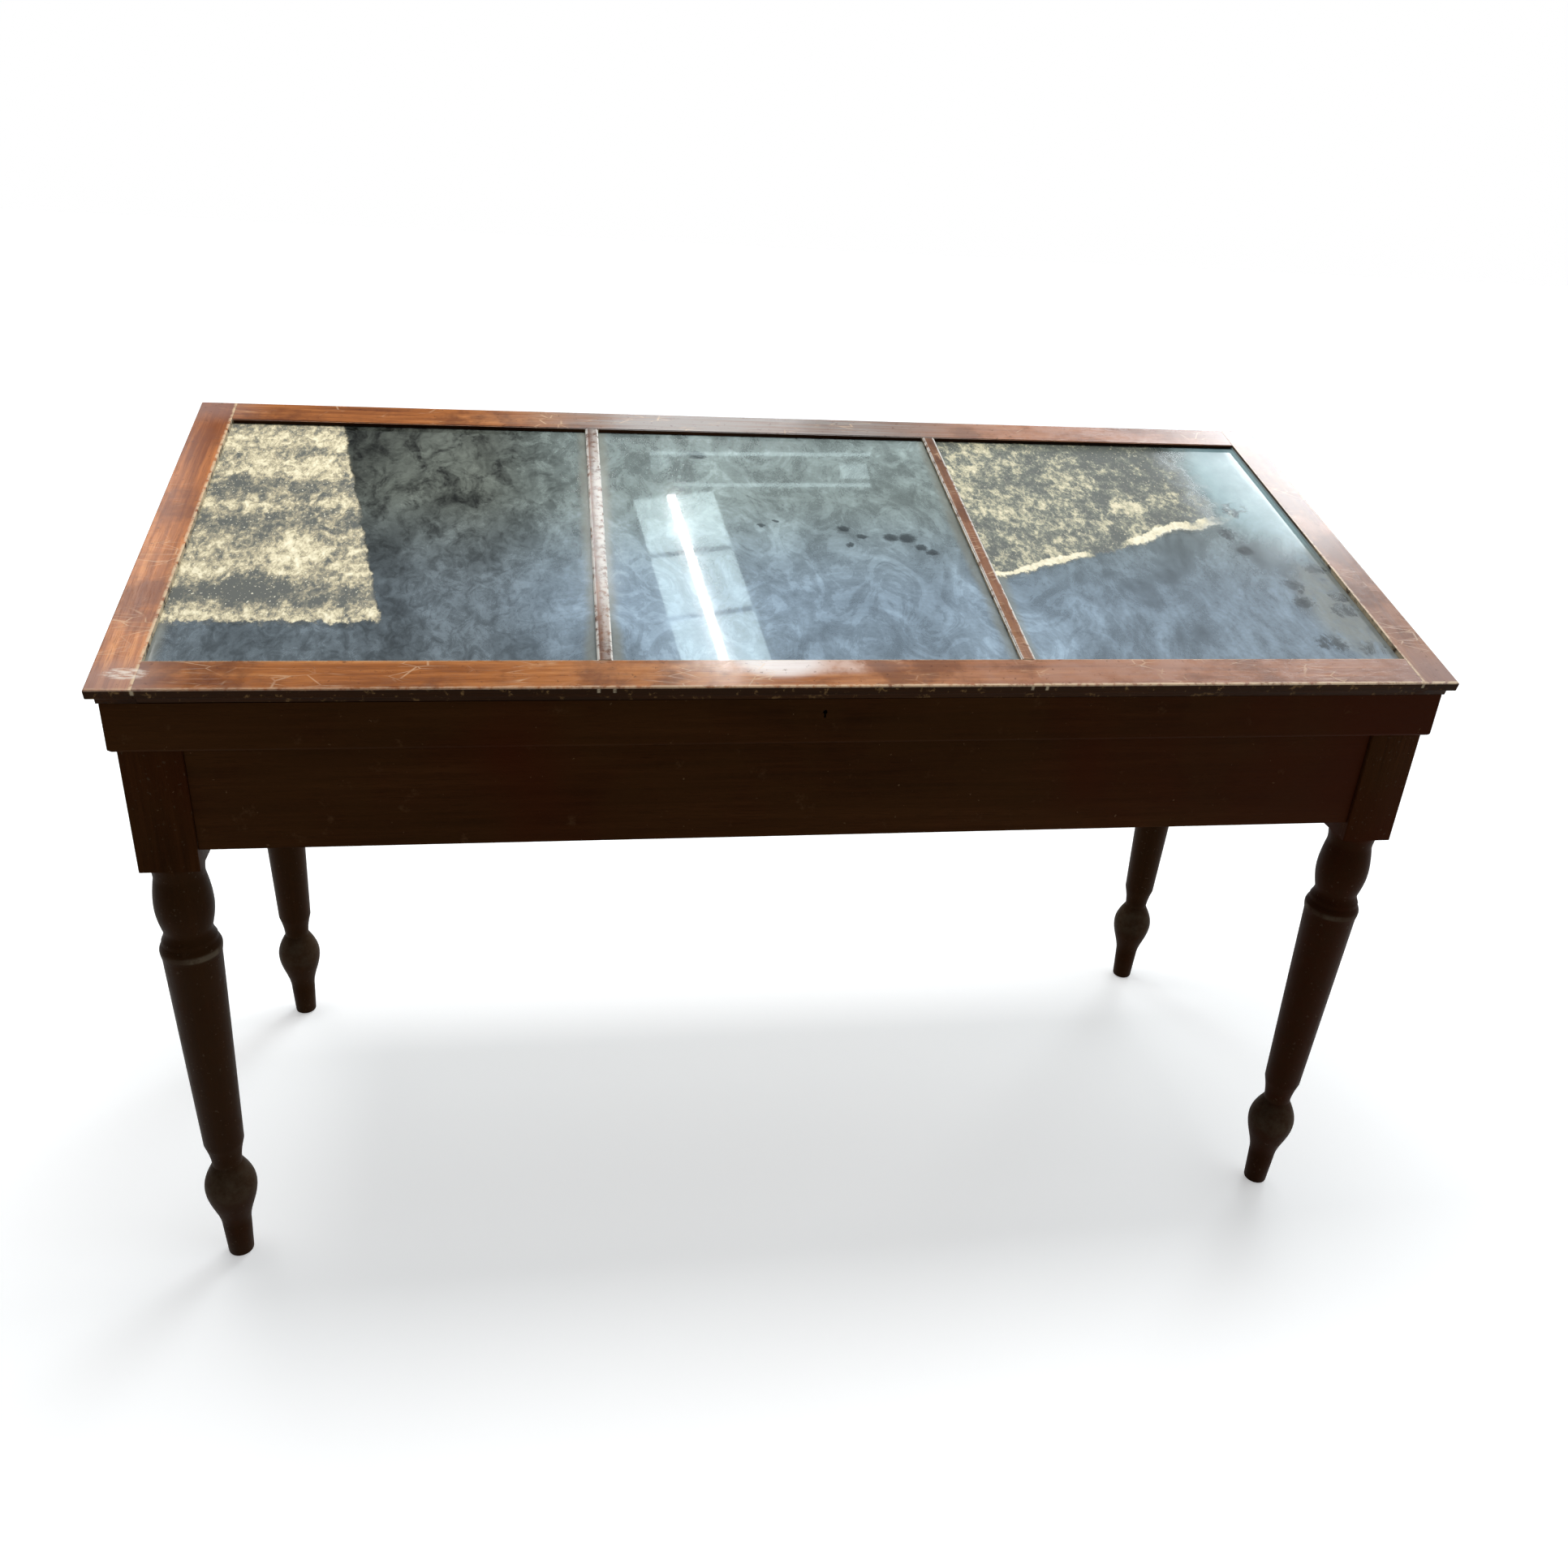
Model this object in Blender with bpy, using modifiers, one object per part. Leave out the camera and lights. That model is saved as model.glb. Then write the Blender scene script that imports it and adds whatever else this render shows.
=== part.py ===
"""Museum display cabinet: a sloping, three-pane table case on four turned legs.

Metres, +Z up. The front faces -Y, and the origin is on the floor under the middle of the lid.
"""

import math

import bmesh
import bpy
from mathutils import Matrix, Vector

# Overall size
LID_WIDTH = 1.524
LID_LENGTH = 0.640  # front edge to back edge, along the slope
LID_SLOPE = math.radians(14.7)
FRONT_HEIGHT = 0.812  # floor to the lid's front top edge

# Clearances
GAP = 0.0003  # between faces that touch on the real piece
LID_SEAT_GAP = 0.0006  # between the lid and the case that it rests on
GLASS_PLAY = 0.001  # round the edges of each pane
BOLT_PLAY = 0.0008  # round the bolt in its strike

# Lid frame
NOSING_THICK = 0.012  # upper layer of the lid's edge, rounded
NOSING_ROUND = 0.0015
STEP_THICK = 0.010  # lower layer, set back under the nosing
STEP_INSET = 0.0065
STILE_WIDTH = 0.046
FRONT_RAIL_WIDTH = 0.050
BACK_RAIL_WIDTH = 0.048
BAR_WIDTH = 0.017
PANE_COUNT = 3
LIP_THICK = 0.006  # wood over the edge of the glass
GLASS_LAP = 0.006  # how far the pane's rebate runs under that lip
GLASS_THICK = 0.004
LID_TENON_LENGTH = 0.030
LID_TENON_THICK = 0.008
LID_TENON_EDGE = 0.014  # tenon in from the lid's outer edge
LID_TENON_SHOULDER = 0.005  # tenon back from the rebate

# Case
CASE_SIDE_INSET = 0.009  # frieze face in from the lid's edge
CASE_FRONT_INSET = 0.0125
CASE_BACK_INSET = 0.0055
FRIEZE_THICK = 0.020
FRIEZE_ROUND = 0.003
WELL_DEPTH = 0.045  # glass down to the lining
LINING_THICK = 0.0012
BED_THICK = 0.012
BEARER_NOSE = 0.0115  # height of a bed bearer at its front end
BEARER_THICK = 0.018
GLUE_BLOCK_SIDE = 0.010
GLUE_BLOCK_LENGTH = 0.060

# Stand
POST_SETBACK = 0.0065  # post face behind the frieze face
POST_WIDTH = 0.064
POST_LENGTH = 0.149
POST_ROUND = 0.0015
APRON_SETBACK = 0.0045  # apron face behind the post face
APRON_THICK = 0.020
APRON_HEIGHT = 0.125
APRON_ROUND = 0.0015
APRON_TENON_LENGTH = 0.028
APRON_TENON_THICK = 0.009
APRON_TENON_SHOULDER = 0.015

# Turned leg, measured down from the post
TOP_RADIUS = 0.0298
TOP_LENGTH = 0.002
NECK_DROP = 0.020
NECK_RADIUS = 0.0275
BALL_DROP = 0.058
BALL_RADIUS = 0.032
WAIST_DROP = 0.091
WAIST_RADIUS = 0.0266
COLLAR_DROP = 0.103
COLLAR_RADIUS = 0.0303
RING_DROP = 0.106
RING_LENGTH = 0.020
RING_RADIUS = 0.034
SHAFT_RADIUS = 0.0325

# Turned foot, measured up from the floor
SHAFT_END_HEIGHT = 0.184
SHAFT_END_RADIUS = 0.0238
ANKLE_HEIGHT = 0.149
ANKLE_RADIUS = 0.0178
BULB_HEIGHT = 0.112
BULB_RADIUS = 0.0312
TOE_HEIGHT = 0.048
TOE_RADIUS = 0.0177
SOLE_RADIUS = 0.0155
SOLE_ROUND = 0.003
LEG_SIDES = 20

# Hinges
HINGE_FROM_END = 0.202  # lid's end in to the middle of an outer hinge
HINGE_LENGTH = 0.064
LEAF_WIDTH = 0.018
LEAF_THICK = 0.002
KNUCKLE_RADIUS = 0.0032
PIN_RADIUS = 0.0015
HINGE_SIDES = 16

# Lock
LOCK_WIDTH = 0.062
LOCK_HEIGHT = 0.036
LOCK_DEPTH = 0.011
PLATE_THICK = 0.002
FACE_PLATE_WIDTH = 0.070
FACE_PLATE_DEPTH = 0.015
STRIKE_WIDTH = 0.050
STRIKE_DEPTH = 0.021
STRIKE_MORTISE = 0.012
BOLT_WIDTH = 0.014
BOLT_THICK = 0.005
BOLT_LENGTH = 0.024
KEYHOLE_DROP = 0.0158  # keyhole below the top of the lock
KEYHOLE_RADIUS = 0.0026
KEYHOLE_SLOT_WIDTH = 0.0022
KEYHOLE_SLOT_LENGTH = 0.007
TALON_WIDTH = 0.008

# How far a cutter runs past the face that it opens
OVERRUN = 0.010

# Mesh work
SAME_PLACE = 1e-6  # points closer than this are one
SHARP_ANGLE = math.radians(40.0)
QUARTER_TURN = math.radians(90.0)

# Levels square to the lid, down from its top face
LID_THICK = NOSING_THICK + STEP_THICK
GLASS_TOP = -LIP_THICK - GAP
GLASS_BOTTOM = GLASS_TOP - GLASS_THICK
CASE_TOP = -LID_THICK - LID_SEAT_GAP
LINING_TOP = GLASS_BOTTOM - WELL_DEPTH
LINING_BOTTOM = LINING_TOP - LINING_THICK
BED_TOP = LINING_BOTTOM - GAP
BED_BOTTOM = BED_TOP - BED_THICK

# Places along Y, with the lid's box centred over the origin
SIN = math.sin(LID_SLOPE)
COS = math.cos(LID_SLOPE)
LID_FRONT_Y = -(LID_LENGTH * COS + NOSING_THICK * SIN) / 2
LID_BACK_Y = LID_FRONT_Y + LID_LENGTH * COS
CASE_FRONT_Y = LID_FRONT_Y + CASE_FRONT_INSET
CASE_BACK_Y = LID_BACK_Y - CASE_BACK_INSET
FRONT_INNER_Y = CASE_FRONT_Y + FRIEZE_THICK
BACK_INNER_Y = CASE_BACK_Y - FRIEZE_THICK
HALF_CASE = LID_WIDTH / 2 - CASE_SIDE_INSET
HALF_WELL = HALF_CASE - FRIEZE_THICK


def slope_v(y, w):
    """Distance along the slope at which level w lies over y."""
    return (y - LID_FRONT_Y + w * SIN) / COS


def slope_z(v, w):
    return FRONT_HEIGHT + v * SIN + w * COS


def height_over(y, w):
    """Height of level w over y."""
    return slope_z(slope_v(y, w), w)


CASE_BOTTOM = height_over(FRONT_INNER_Y, BED_BOTTOM) - BEARER_NOSE
STAND_TOP = CASE_BOTTOM - GAP
POST_BOTTOM = CASE_BOTTOM - POST_LENGTH
LEG_X = HALF_CASE - POST_SETBACK - POST_WIDTH / 2
LEG_FRONT_Y = CASE_FRONT_Y + POST_SETBACK + POST_WIDTH / 2
LEG_BACK_Y = CASE_BACK_Y - POST_SETBACK - POST_WIDTH / 2

# Panes, as sight openings between the members of the lid
HALF_SIGHT = LID_WIDTH / 2 - STILE_WIDTH
SIGHT_WIDTH = (2 * HALF_SIGHT - (PANE_COUNT - 1) * BAR_WIDTH) / PANE_COUNT
SIGHT_FRONT = FRONT_RAIL_WIDTH
SIGHT_BACK = LID_LENGTH - BACK_RAIL_WIDTH
SIGHT_LEFTS = [-HALF_SIGHT + i * (SIGHT_WIDTH + BAR_WIDTH) for i in range(PANE_COUNT)]
BAR_LEFTS = [left - BAR_WIDTH for left in SIGHT_LEFTS[1:]]

# Hinges, spread along the back, and their axis
HINGE_SPREAD = LID_WIDTH / 2 - HINGE_FROM_END
HINGE_Y = CASE_BACK_Y + KNUCKLE_RADIUS + GAP
HINGE_W = -LID_THICK - LID_SEAT_GAP / 2
HINGE_V = slope_v(HINGE_Y, HINGE_W)
HINGE_Z = slope_z(HINGE_V, HINGE_W)

# Lock, let into the inner face and the top of the front frieze
LOCK_FRONT_Y = FRONT_INNER_Y - LOCK_DEPTH
LOCK_TOP = height_over(LOCK_FRONT_Y, CASE_TOP - PLATE_THICK) - GAP
BOLT_Y = FRONT_INNER_Y - LOCK_DEPTH / 2
BOLT_TOP = height_over(BOLT_Y - BOLT_THICK / 2, CASE_TOP) - GAP
BOLT_BOTTOM = BOLT_TOP - BOLT_LENGTH
KEYHOLE_Z = LOCK_TOP - KEYHOLE_DROP

for old in list(bpy.data.objects):
    bpy.data.objects.remove(old, do_unlink=True)

PARTS = bpy.data.collections.new("museum_display_cabinet")
CUTTERS = bpy.data.collections.new("cutters")
for collection in (PARTS, CUTTERS):
    bpy.context.scene.collection.children.link(collection)


def finish(name, colour, roughness, metallic=0.0, transmission=0.0):
    material = bpy.data.materials.new(name)
    material.use_nodes = True
    shader = material.node_tree.nodes["Principled BSDF"]
    shader.inputs["Base Color"].default_value = (*colour, 1.0)
    shader.inputs["Roughness"].default_value = roughness
    shader.inputs["Metallic"].default_value = metallic
    shader.inputs["Transmission Weight"].default_value = transmission
    return material


LID_WOOD = finish("lid_mahogany", (0.27, 0.10, 0.045), 0.28)
CASE_WOOD = finish("case_mahogany", (0.075, 0.030, 0.016), 0.40)
INNER_WOOD = finish("carcase_pine", (0.38, 0.24, 0.12), 0.70)
CLOTH = finish("bed_lining", (0.10, 0.115, 0.14), 0.90)
GLASS = finish("pane_glass", (0.80, 0.86, 0.87), 0.05, transmission=0.9)
BRASS = finish("aged_brass", (0.42, 0.29, 0.11), 0.38, metallic=1.0)
IRON = finish("lock_iron", (0.12, 0.11, 0.10), 0.50, metallic=1.0)


def frame(name, location, tilt=0.0, parent=None):
    """An empty that pieces are placed from."""
    empty = bpy.data.objects.new(name, None)
    empty.location = location
    empty.rotation_euler = (tilt, 0.0, 0.0)
    empty.parent = parent
    PARTS.objects.link(empty)
    return empty


# The lid's front top edge is the start of the sloping frames: X along it, Y up the slope, Z square to it
CABINET = frame("cabinet", (0.0, 0.0, 0.0))
CASE_SLOPE = frame("case_slope", (0.0, LID_FRONT_Y, FRONT_HEIGHT), LID_SLOPE, CABINET)
LID_PIVOT = frame("lid_pivot", (0.0, HINGE_Y, HINGE_Z), LID_SLOPE, CABINET)
LID_SLOPE_FRAME = frame("lid_frame", (0.0, -HINGE_V, -HINGE_W), 0.0, LID_PIVOT)
BOLT_GUIDE = frame("bolt_guide", (0.0, BOLT_Y, BOLT_BOTTOM), 0.0, CABINET)


def add(name, mesh, parent, material=None):
    """An object in its collection: a piece if it has a material, and otherwise a cutter."""
    piece = bpy.data.objects.new(name, mesh)
    piece.parent = parent
    if material is None:
        CUTTERS.objects.link(piece)
        piece.hide_render = True
        piece.display_type = "WIRE"
    else:
        PARTS.objects.link(piece)
        mesh.materials.append(material)
    return piece


def block(name, low, high, parent, material=None):
    """A box between two corners, given in its parent's frame."""
    low, high = Vector(low), Vector(high)
    shape = bmesh.new()
    bmesh.ops.create_cube(shape, size=1.0)
    bmesh.ops.scale(shape, vec=high - low, verts=shape.verts)
    mesh = bpy.data.meshes.new(name)
    shape.to_mesh(mesh)
    shape.free()
    piece = add(name, mesh, parent, material)
    piece.location = (low + high) / 2
    return piece


def rod(name, radius, start, end, y, z, parent, material=None):
    """A cylinder along X."""
    shape = bmesh.new()
    bmesh.ops.create_cone(
        shape, cap_ends=True, segments=HINGE_SIDES, radius1=radius, radius2=radius, depth=end - start
    )
    turn = Matrix.Rotation(QUARTER_TURN, 3, "Y")
    bmesh.ops.rotate(shape, cent=(0.0, 0.0, 0.0), matrix=turn, verts=shape.verts)
    mesh = bpy.data.meshes.new(name)
    shape.to_mesh(mesh)
    shape.free()
    mesh.shade_smooth()
    mesh.set_sharp_from_angle(angle=SHARP_ANGLE)
    piece = add(name, mesh, parent, material)
    piece.location = ((start + end) / 2, y, z)
    return piece


def round_edges(piece, radius, edges, segments=3):
    """Rounds a box's edges, each named by the two sides that meet there, such as -y and +z."""
    shape = bmesh.new()
    shape.from_mesh(piece.data)
    reach = [max(vert.co[axis] for vert in shape.verts) for axis in range(3)]

    def lies_on(edge, side):
        axis = "xyz".index(side[1])
        place = reach[axis] if side[0] == "+" else -reach[axis]
        return all(abs(vert.co[axis] - place) < SAME_PLACE for vert in edge.verts)

    chosen = [e for e in shape.edges if any(lies_on(e, a) and lies_on(e, b) for a, b in edges)]
    bmesh.ops.bevel(shape, geom=chosen, offset=radius, segments=segments, profile=0.5, affect="EDGES")
    shape.to_mesh(piece.data)
    shape.free()


def combine(piece, tool, operation):
    modifier = piece.modifiers.new(tool.name, "BOOLEAN")
    modifier.operation = operation
    modifier.object = tool


def cut(piece, *tools):
    for tool in tools:
        combine(piece, tool, "DIFFERENCE")


def join(piece, *tools):
    for tool in tools:
        combine(piece, tool, "UNION")


def grown(low, high, by):
    return Vector(low) - Vector((by, by, by)), Vector(high) + Vector((by, by, by))


def tenons(rail, stiles, low, high):
    """A tenon on each end of a rail, from a bar that runs right through it, and their mortises."""
    join(rail, block(rail.name + "_tenons", low, high, rail.parent))
    mortises = block(rail.name + "_mortises", *grown(low, high, GAP), rail.parent)
    for stile in stiles:
        cut(stile, mortises)


# Cutters that set the top of the case and the underside of the bed
SLOPE_LOW = (-LID_WIDTH, -LID_LENGTH / 2)
SLOPE_HIGH = (LID_WIDTH, LID_LENGTH * 1.5)
LID_SPACE = block("lid_space", (*SLOPE_LOW, CASE_TOP), (*SLOPE_HIGH, LID_LENGTH / 2), CASE_SLOPE)
BED_SPACE = block("bed_space", (*SLOPE_LOW, BED_BOTTOM - GAP), (*SLOPE_HIGH, LID_LENGTH / 2), CASE_SLOPE)


# Legs
def swell(start, end, rise=True, steps=4):
    """Points of a quarter wave between two (radius, height) places, flat at the wide end."""
    (r0, z0), (r1, z1) = start, end
    points = []
    for i in range(1, steps + 1):
        t = i / steps
        share = math.sin(t * math.pi / 2) if rise else 1 - math.cos(t * math.pi / 2)
        points.append((r0 + (r1 - r0) * share, z0 + (z1 - z0) * t))
    return points


def ogee(start, end, steps=6):
    """Points of a half wave between two (radius, height) places, flat at both ends."""
    (r0, z0), (r1, z1) = start, end
    points = []
    for i in range(1, steps + 1):
        t = i / steps
        points.append((r0 + (r1 - r0) * (1 - math.cos(t * math.pi)) / 2, z0 + (z1 - z0) * t))
    return points


def below_post(drop):
    return POST_BOTTOM - drop


def leg_profile():
    """The turned outline from the middle of the post, down its outer side, to the middle of the sole."""
    buried = POST_BOTTOM + TOP_LENGTH
    neck = (NECK_RADIUS, below_post(NECK_DROP))
    ball = (BALL_RADIUS, below_post(BALL_DROP))
    waist = (WAIST_RADIUS, below_post(WAIST_DROP))
    collar = (COLLAR_RADIUS, below_post(COLLAR_DROP))
    ring_top = (COLLAR_RADIUS, below_post(RING_DROP))
    ring = (RING_RADIUS, below_post(RING_DROP + RING_LENGTH / 2))
    shaft = (SHAFT_RADIUS, below_post(RING_DROP + RING_LENGTH))
    shaft_end = (SHAFT_END_RADIUS, SHAFT_END_HEIGHT)
    ankle = (ANKLE_RADIUS, ANKLE_HEIGHT)
    bulb = (BULB_RADIUS, BULB_HEIGHT)
    toe = (TOE_RADIUS, TOE_HEIGHT)
    top = (TOP_RADIUS, below_post(TOP_LENGTH))
    points = [(0.0, buried), (TOP_RADIUS, buried), top]
    points += swell(top, neck, steps=3)
    points += swell(neck, ball)
    points += swell(ball, waist, rise=False)
    points += swell(waist, collar, rise=False, steps=2)
    points += [ring_top]
    points += swell(ring_top, ring, steps=3)
    points += swell(ring, shaft, rise=False, steps=3)
    points += [shaft_end]
    points += swell(shaft_end, ankle, steps=3)
    points += swell(ankle, bulb)
    points += ogee(bulb, toe)
    points += [(SOLE_RADIUS, SOLE_ROUND)]
    points += [(SOLE_RADIUS - SOLE_ROUND / 3, SOLE_ROUND / 3), (SOLE_RADIUS - SOLE_ROUND, 0.0)]
    points += [(0.0, 0.0)]
    return points


def leg(name, x, y):
    points = leg_profile()
    mesh = bpy.data.meshes.new(name)
    mesh.from_pydata([(r, 0.0, z) for r, z in points], [(i, i + 1) for i in range(len(points) - 1)], [])
    turned = add(name, mesh, CABINET, CASE_WOOD)
    turned.location = (x, y, 0.0)
    screw = turned.modifiers.new("turning", "SCREW")
    screw.axis = "Z"
    screw.steps = LEG_SIDES
    screw.render_steps = LEG_SIDES
    screw.use_merge_vertices = True
    screw.merge_threshold = SAME_PLACE
    half = POST_WIDTH / 2
    post = block(name + "_post", (x - half, y - half, POST_BOTTOM), (x + half, y + half, STAND_TOP), CABINET)
    round_edges(post, POST_ROUND, [(a, b) for a in ("-x", "+x") for b in ("-y", "+y")], segments=2)
    join(turned, post)
    return turned


LEGS = {}
for depth, leg_y in (("front", LEG_FRONT_Y), ("back", LEG_BACK_Y)):
    for side, sign in (("left", -1), ("right", 1)):
        LEGS[depth, side] = leg(f"leg_{depth}_{side}", sign * LEG_X, leg_y)


# Aprons, each tenoned into two posts
APRON_BOTTOM = CASE_BOTTOM - APRON_HEIGHT
TENON_LOW = APRON_BOTTOM + APRON_TENON_SHOULDER
TENON_HIGH = STAND_TOP - APRON_TENON_SHOULDER
HALF_TENON = APRON_TENON_THICK / 2
HALF_APRON = APRON_THICK / 2
APRON_DEPTH = POST_WIDTH / 2 - APRON_SETBACK - HALF_APRON  # leg axis out to the middle of an apron
POST_INSIDE_X = LEG_X - POST_WIDTH / 2
POST_INSIDE_FRONT = LEG_FRONT_Y + POST_WIDTH / 2
POST_INSIDE_BACK = LEG_BACK_Y - POST_WIDTH / 2

for depth, leg_y, sign in (("front", LEG_FRONT_Y, -1), ("back", LEG_BACK_Y, 1)):
    y = leg_y + sign * APRON_DEPTH
    end = POST_INSIDE_X - GAP
    low = (-end, y - HALF_APRON, APRON_BOTTOM)
    high = (end, y + HALF_APRON, STAND_TOP)
    apron = block(f"apron_{depth}", low, high, CABINET, CASE_WOOD)
    round_edges(apron, APRON_ROUND, [("-y", "-z"), ("+y", "-z")], segments=2)
    end = POST_INSIDE_X + APRON_TENON_LENGTH
    low = (-end, y - HALF_TENON, TENON_LOW)
    high = (end, y + HALF_TENON, TENON_HIGH)
    tenons(apron, [LEGS[depth, "left"], LEGS[depth, "right"]], low, high)

for side, sign in (("left", -1), ("right", 1)):
    x = sign * (LEG_X + APRON_DEPTH)
    low = (x - HALF_APRON, POST_INSIDE_FRONT + GAP, APRON_BOTTOM)
    high = (x + HALF_APRON, POST_INSIDE_BACK - GAP, STAND_TOP)
    apron = block(f"apron_{side}", low, high, CABINET, CASE_WOOD)
    round_edges(apron, APRON_ROUND, [("-x", "-z"), ("+x", "-z")], segments=2)
    low = (x - HALF_TENON, POST_INSIDE_FRONT - APRON_TENON_LENGTH, TENON_LOW)
    high = (x + HALF_TENON, POST_INSIDE_BACK + APRON_TENON_LENGTH, TENON_HIGH)
    tenons(apron, [LEGS["front", side], LEGS["back", side]], low, high)


# Frieze boards, mitred at the corners
def frieze(name, outline, back_y):
    """A board on edge over a plan outline, whose first two points are its outer face."""
    low, high = CASE_BOTTOM, height_over(back_y, CASE_TOP) + OVERRUN
    curve = bpy.data.curves.new(name, "CURVE")
    curve.dimensions = "2D"
    curve.fill_mode = "BOTH"
    curve.extrude = (high - low) / 2
    spline = curve.splines.new("POLY")
    spline.points.add(len(outline) - 1)
    for point, (x, y) in zip(spline.points, outline):
        point.co = (x, y, 0.0, 1.0)
    spline.use_cyclic_u = True
    plan = bpy.data.objects.new(name + "_plan", curve)
    CUTTERS.objects.link(plan)
    mesh = bpy.data.meshes.new_from_object(plan.evaluated_get(bpy.context.evaluated_depsgraph_get()))
    bpy.data.objects.remove(plan)
    shape = bmesh.new()
    shape.from_mesh(mesh)
    bmesh.ops.remove_doubles(shape, verts=shape.verts, dist=SAME_PLACE)
    bmesh.ops.recalc_face_normals(shape, faces=shape.faces)
    ends = [Vector((x, y, (low - high) / 2)) for x, y in outline[:2]]
    corners = [v for v in shape.verts if min((v.co - end).length for end in ends) < SAME_PLACE]
    arris = [e for e in shape.edges if all(v in corners for v in e.verts)]
    bmesh.ops.bevel(shape, geom=arris, offset=FRIEZE_ROUND, segments=3, profile=0.5, affect="EDGES")
    shape.to_mesh(mesh)
    shape.free()
    mesh.materials.clear()
    board = add(name, mesh, CABINET, CASE_WOOD)
    board.location = (0.0, 0.0, (low + high) / 2)
    cut(board, LID_SPACE)
    return board


MITRE = GAP / math.sqrt(2)  # each board's share of the gap in a mitre, along its length
INNER = FRIEZE_THICK + MITRE
FRIEZES = {}
for depth, outer_y, inner_y in (
    ("front", CASE_FRONT_Y, FRONT_INNER_Y),
    ("back", CASE_BACK_Y, BACK_INNER_Y),
):
    outer, inner = HALF_CASE - MITRE, HALF_CASE - INNER
    outline = [(-outer, outer_y), (outer, outer_y), (inner, inner_y), (-inner, inner_y)]
    FRIEZES[depth] = frieze(f"frieze_{depth}", outline, max(outer_y, inner_y))
for side, sign in (("left", -1), ("right", 1)):
    outer, inner = sign * HALF_CASE, sign * HALF_WELL
    outline = [
        (outer, CASE_FRONT_Y + MITRE),
        (outer, CASE_BACK_Y - MITRE),
        (inner, CASE_BACK_Y - INNER),
        (inner, CASE_FRONT_Y + INNER),
    ]
    FRIEZES[side] = frieze(f"frieze_{side}", outline, CASE_BACK_Y)

# Bed bearers, wedges on edge that stand on the aprons: one at each side and one under each glazing bar
BEARER_TOP = height_over(BACK_INNER_Y, BED_BOTTOM) + OVERRUN
BEARER_EDGE = HALF_WELL - GAP - BEARER_THICK / 2
BEARER_MIDDLES = [-BEARER_EDGE, *(left + BAR_WIDTH / 2 for left in BAR_LEFTS), BEARER_EDGE]
for i, x in enumerate(BEARER_MIDDLES, start=1):
    low = (x - BEARER_THICK / 2, FRONT_INNER_Y + GAP, CASE_BOTTOM)
    high = (x + BEARER_THICK / 2, BACK_INNER_Y - GAP, BEARER_TOP)
    cut(block(f"bed_bearer_{i}", low, high, CABINET, INNER_WOOD), BED_SPACE)

# Glue blocks in the angle of the frieze and the apron, in the middle of each bay between bearers
BAY_MIDDLES = [(a + b) / 2 for a, b in zip(BEARER_MIDDLES, BEARER_MIDDLES[1:])]
for depth, inner_y, way in (("front", FRONT_INNER_Y, 1), ("back", BACK_INNER_Y, -1)):
    start, end = sorted((inner_y + way * GAP, inner_y + way * (GAP + GLUE_BLOCK_SIDE)))
    for i, x in enumerate(BAY_MIDDLES, start=1):
        low = (x - GLUE_BLOCK_LENGTH / 2, start, CASE_BOTTOM)
        high = (x + GLUE_BLOCK_LENGTH / 2, end, CASE_BOTTOM + GLUE_BLOCK_SIDE)
        cut(block(f"glue_block_{depth}_{i}", low, high, CABINET, INNER_WOOD), BED_SPACE)

# Bed and lining, parallel to the lid
END = HALF_WELL - GAP
for name, top, bottom, material in (
    ("display_board", BED_TOP, BED_BOTTOM, INNER_WOOD),
    ("bed_lining", LINING_TOP, LINING_BOTTOM, CLOTH),
):
    low = (-END, slope_v(FRONT_INNER_Y + GAP, top), bottom)
    high = (END, slope_v(BACK_INNER_Y - GAP, bottom), top)
    block(name, low, high, CASE_SLOPE, material)


# Lid frame: each member is a nosing layer over a step that is set back under it
def member(name, low, high, edges):
    """A member of the lid between two (x, y) corners, rounded on its outer edges, its step set back there."""
    top = block(name, (*low, -NOSING_THICK), (*high, 0.0), LID_SLOPE_FRAME, LID_WOOD)
    round_edges(top, NOSING_ROUND, [(side, face) for side in edges for face in ("-z", "+z")])
    left, front, right, back = (STEP_INSET if side in edges else 0.0 for side in ("-x", "-y", "+x", "+y"))
    buried = NOSING_ROUND / 2 - NOSING_THICK
    step_low = (low[0] + left, low[1] + front, -LID_THICK)
    step_high = (high[0] - right, high[1] - back, buried)
    join(top, block(name + "_step", step_low, step_high, LID_SLOPE_FRAME))
    return top


HALF_LID = LID_WIDTH / 2
RAIL_END = HALF_SIGHT - GAP
STILE_LEFT = member("lid_stile_left", (-HALF_LID, 0.0), (-HALF_SIGHT, LID_LENGTH), ("-x", "-y", "+y"))
STILE_RIGHT = member("lid_stile_right", (HALF_SIGHT, 0.0), (HALF_LID, LID_LENGTH), ("+x", "-y", "+y"))
RAIL_FRONT = member("lid_rail_front", (-RAIL_END, 0.0), (RAIL_END, SIGHT_FRONT), ("-y",))
RAIL_BACK = member("lid_rail_back", (-RAIL_END, SIGHT_BACK), (RAIL_END, LID_LENGTH), ("+y",))
TENON_MIDDLE = -LID_THICK / 2
TENON_END = HALF_SIGHT + LID_TENON_LENGTH
TENON_BACKSET = GLASS_LAP + LID_TENON_SHOULDER
for rail, start, end in (
    (RAIL_FRONT, LID_TENON_EDGE, SIGHT_FRONT - TENON_BACKSET),
    (RAIL_BACK, SIGHT_BACK + TENON_BACKSET, LID_LENGTH - LID_TENON_EDGE),
):
    low = (-TENON_END, start, TENON_MIDDLE - LID_TENON_THICK / 2)
    high = (TENON_END, end, TENON_MIDDLE + LID_TENON_THICK / 2)
    tenons(rail, [STILE_LEFT, STILE_RIGHT], low, high)
BARS = []
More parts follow.
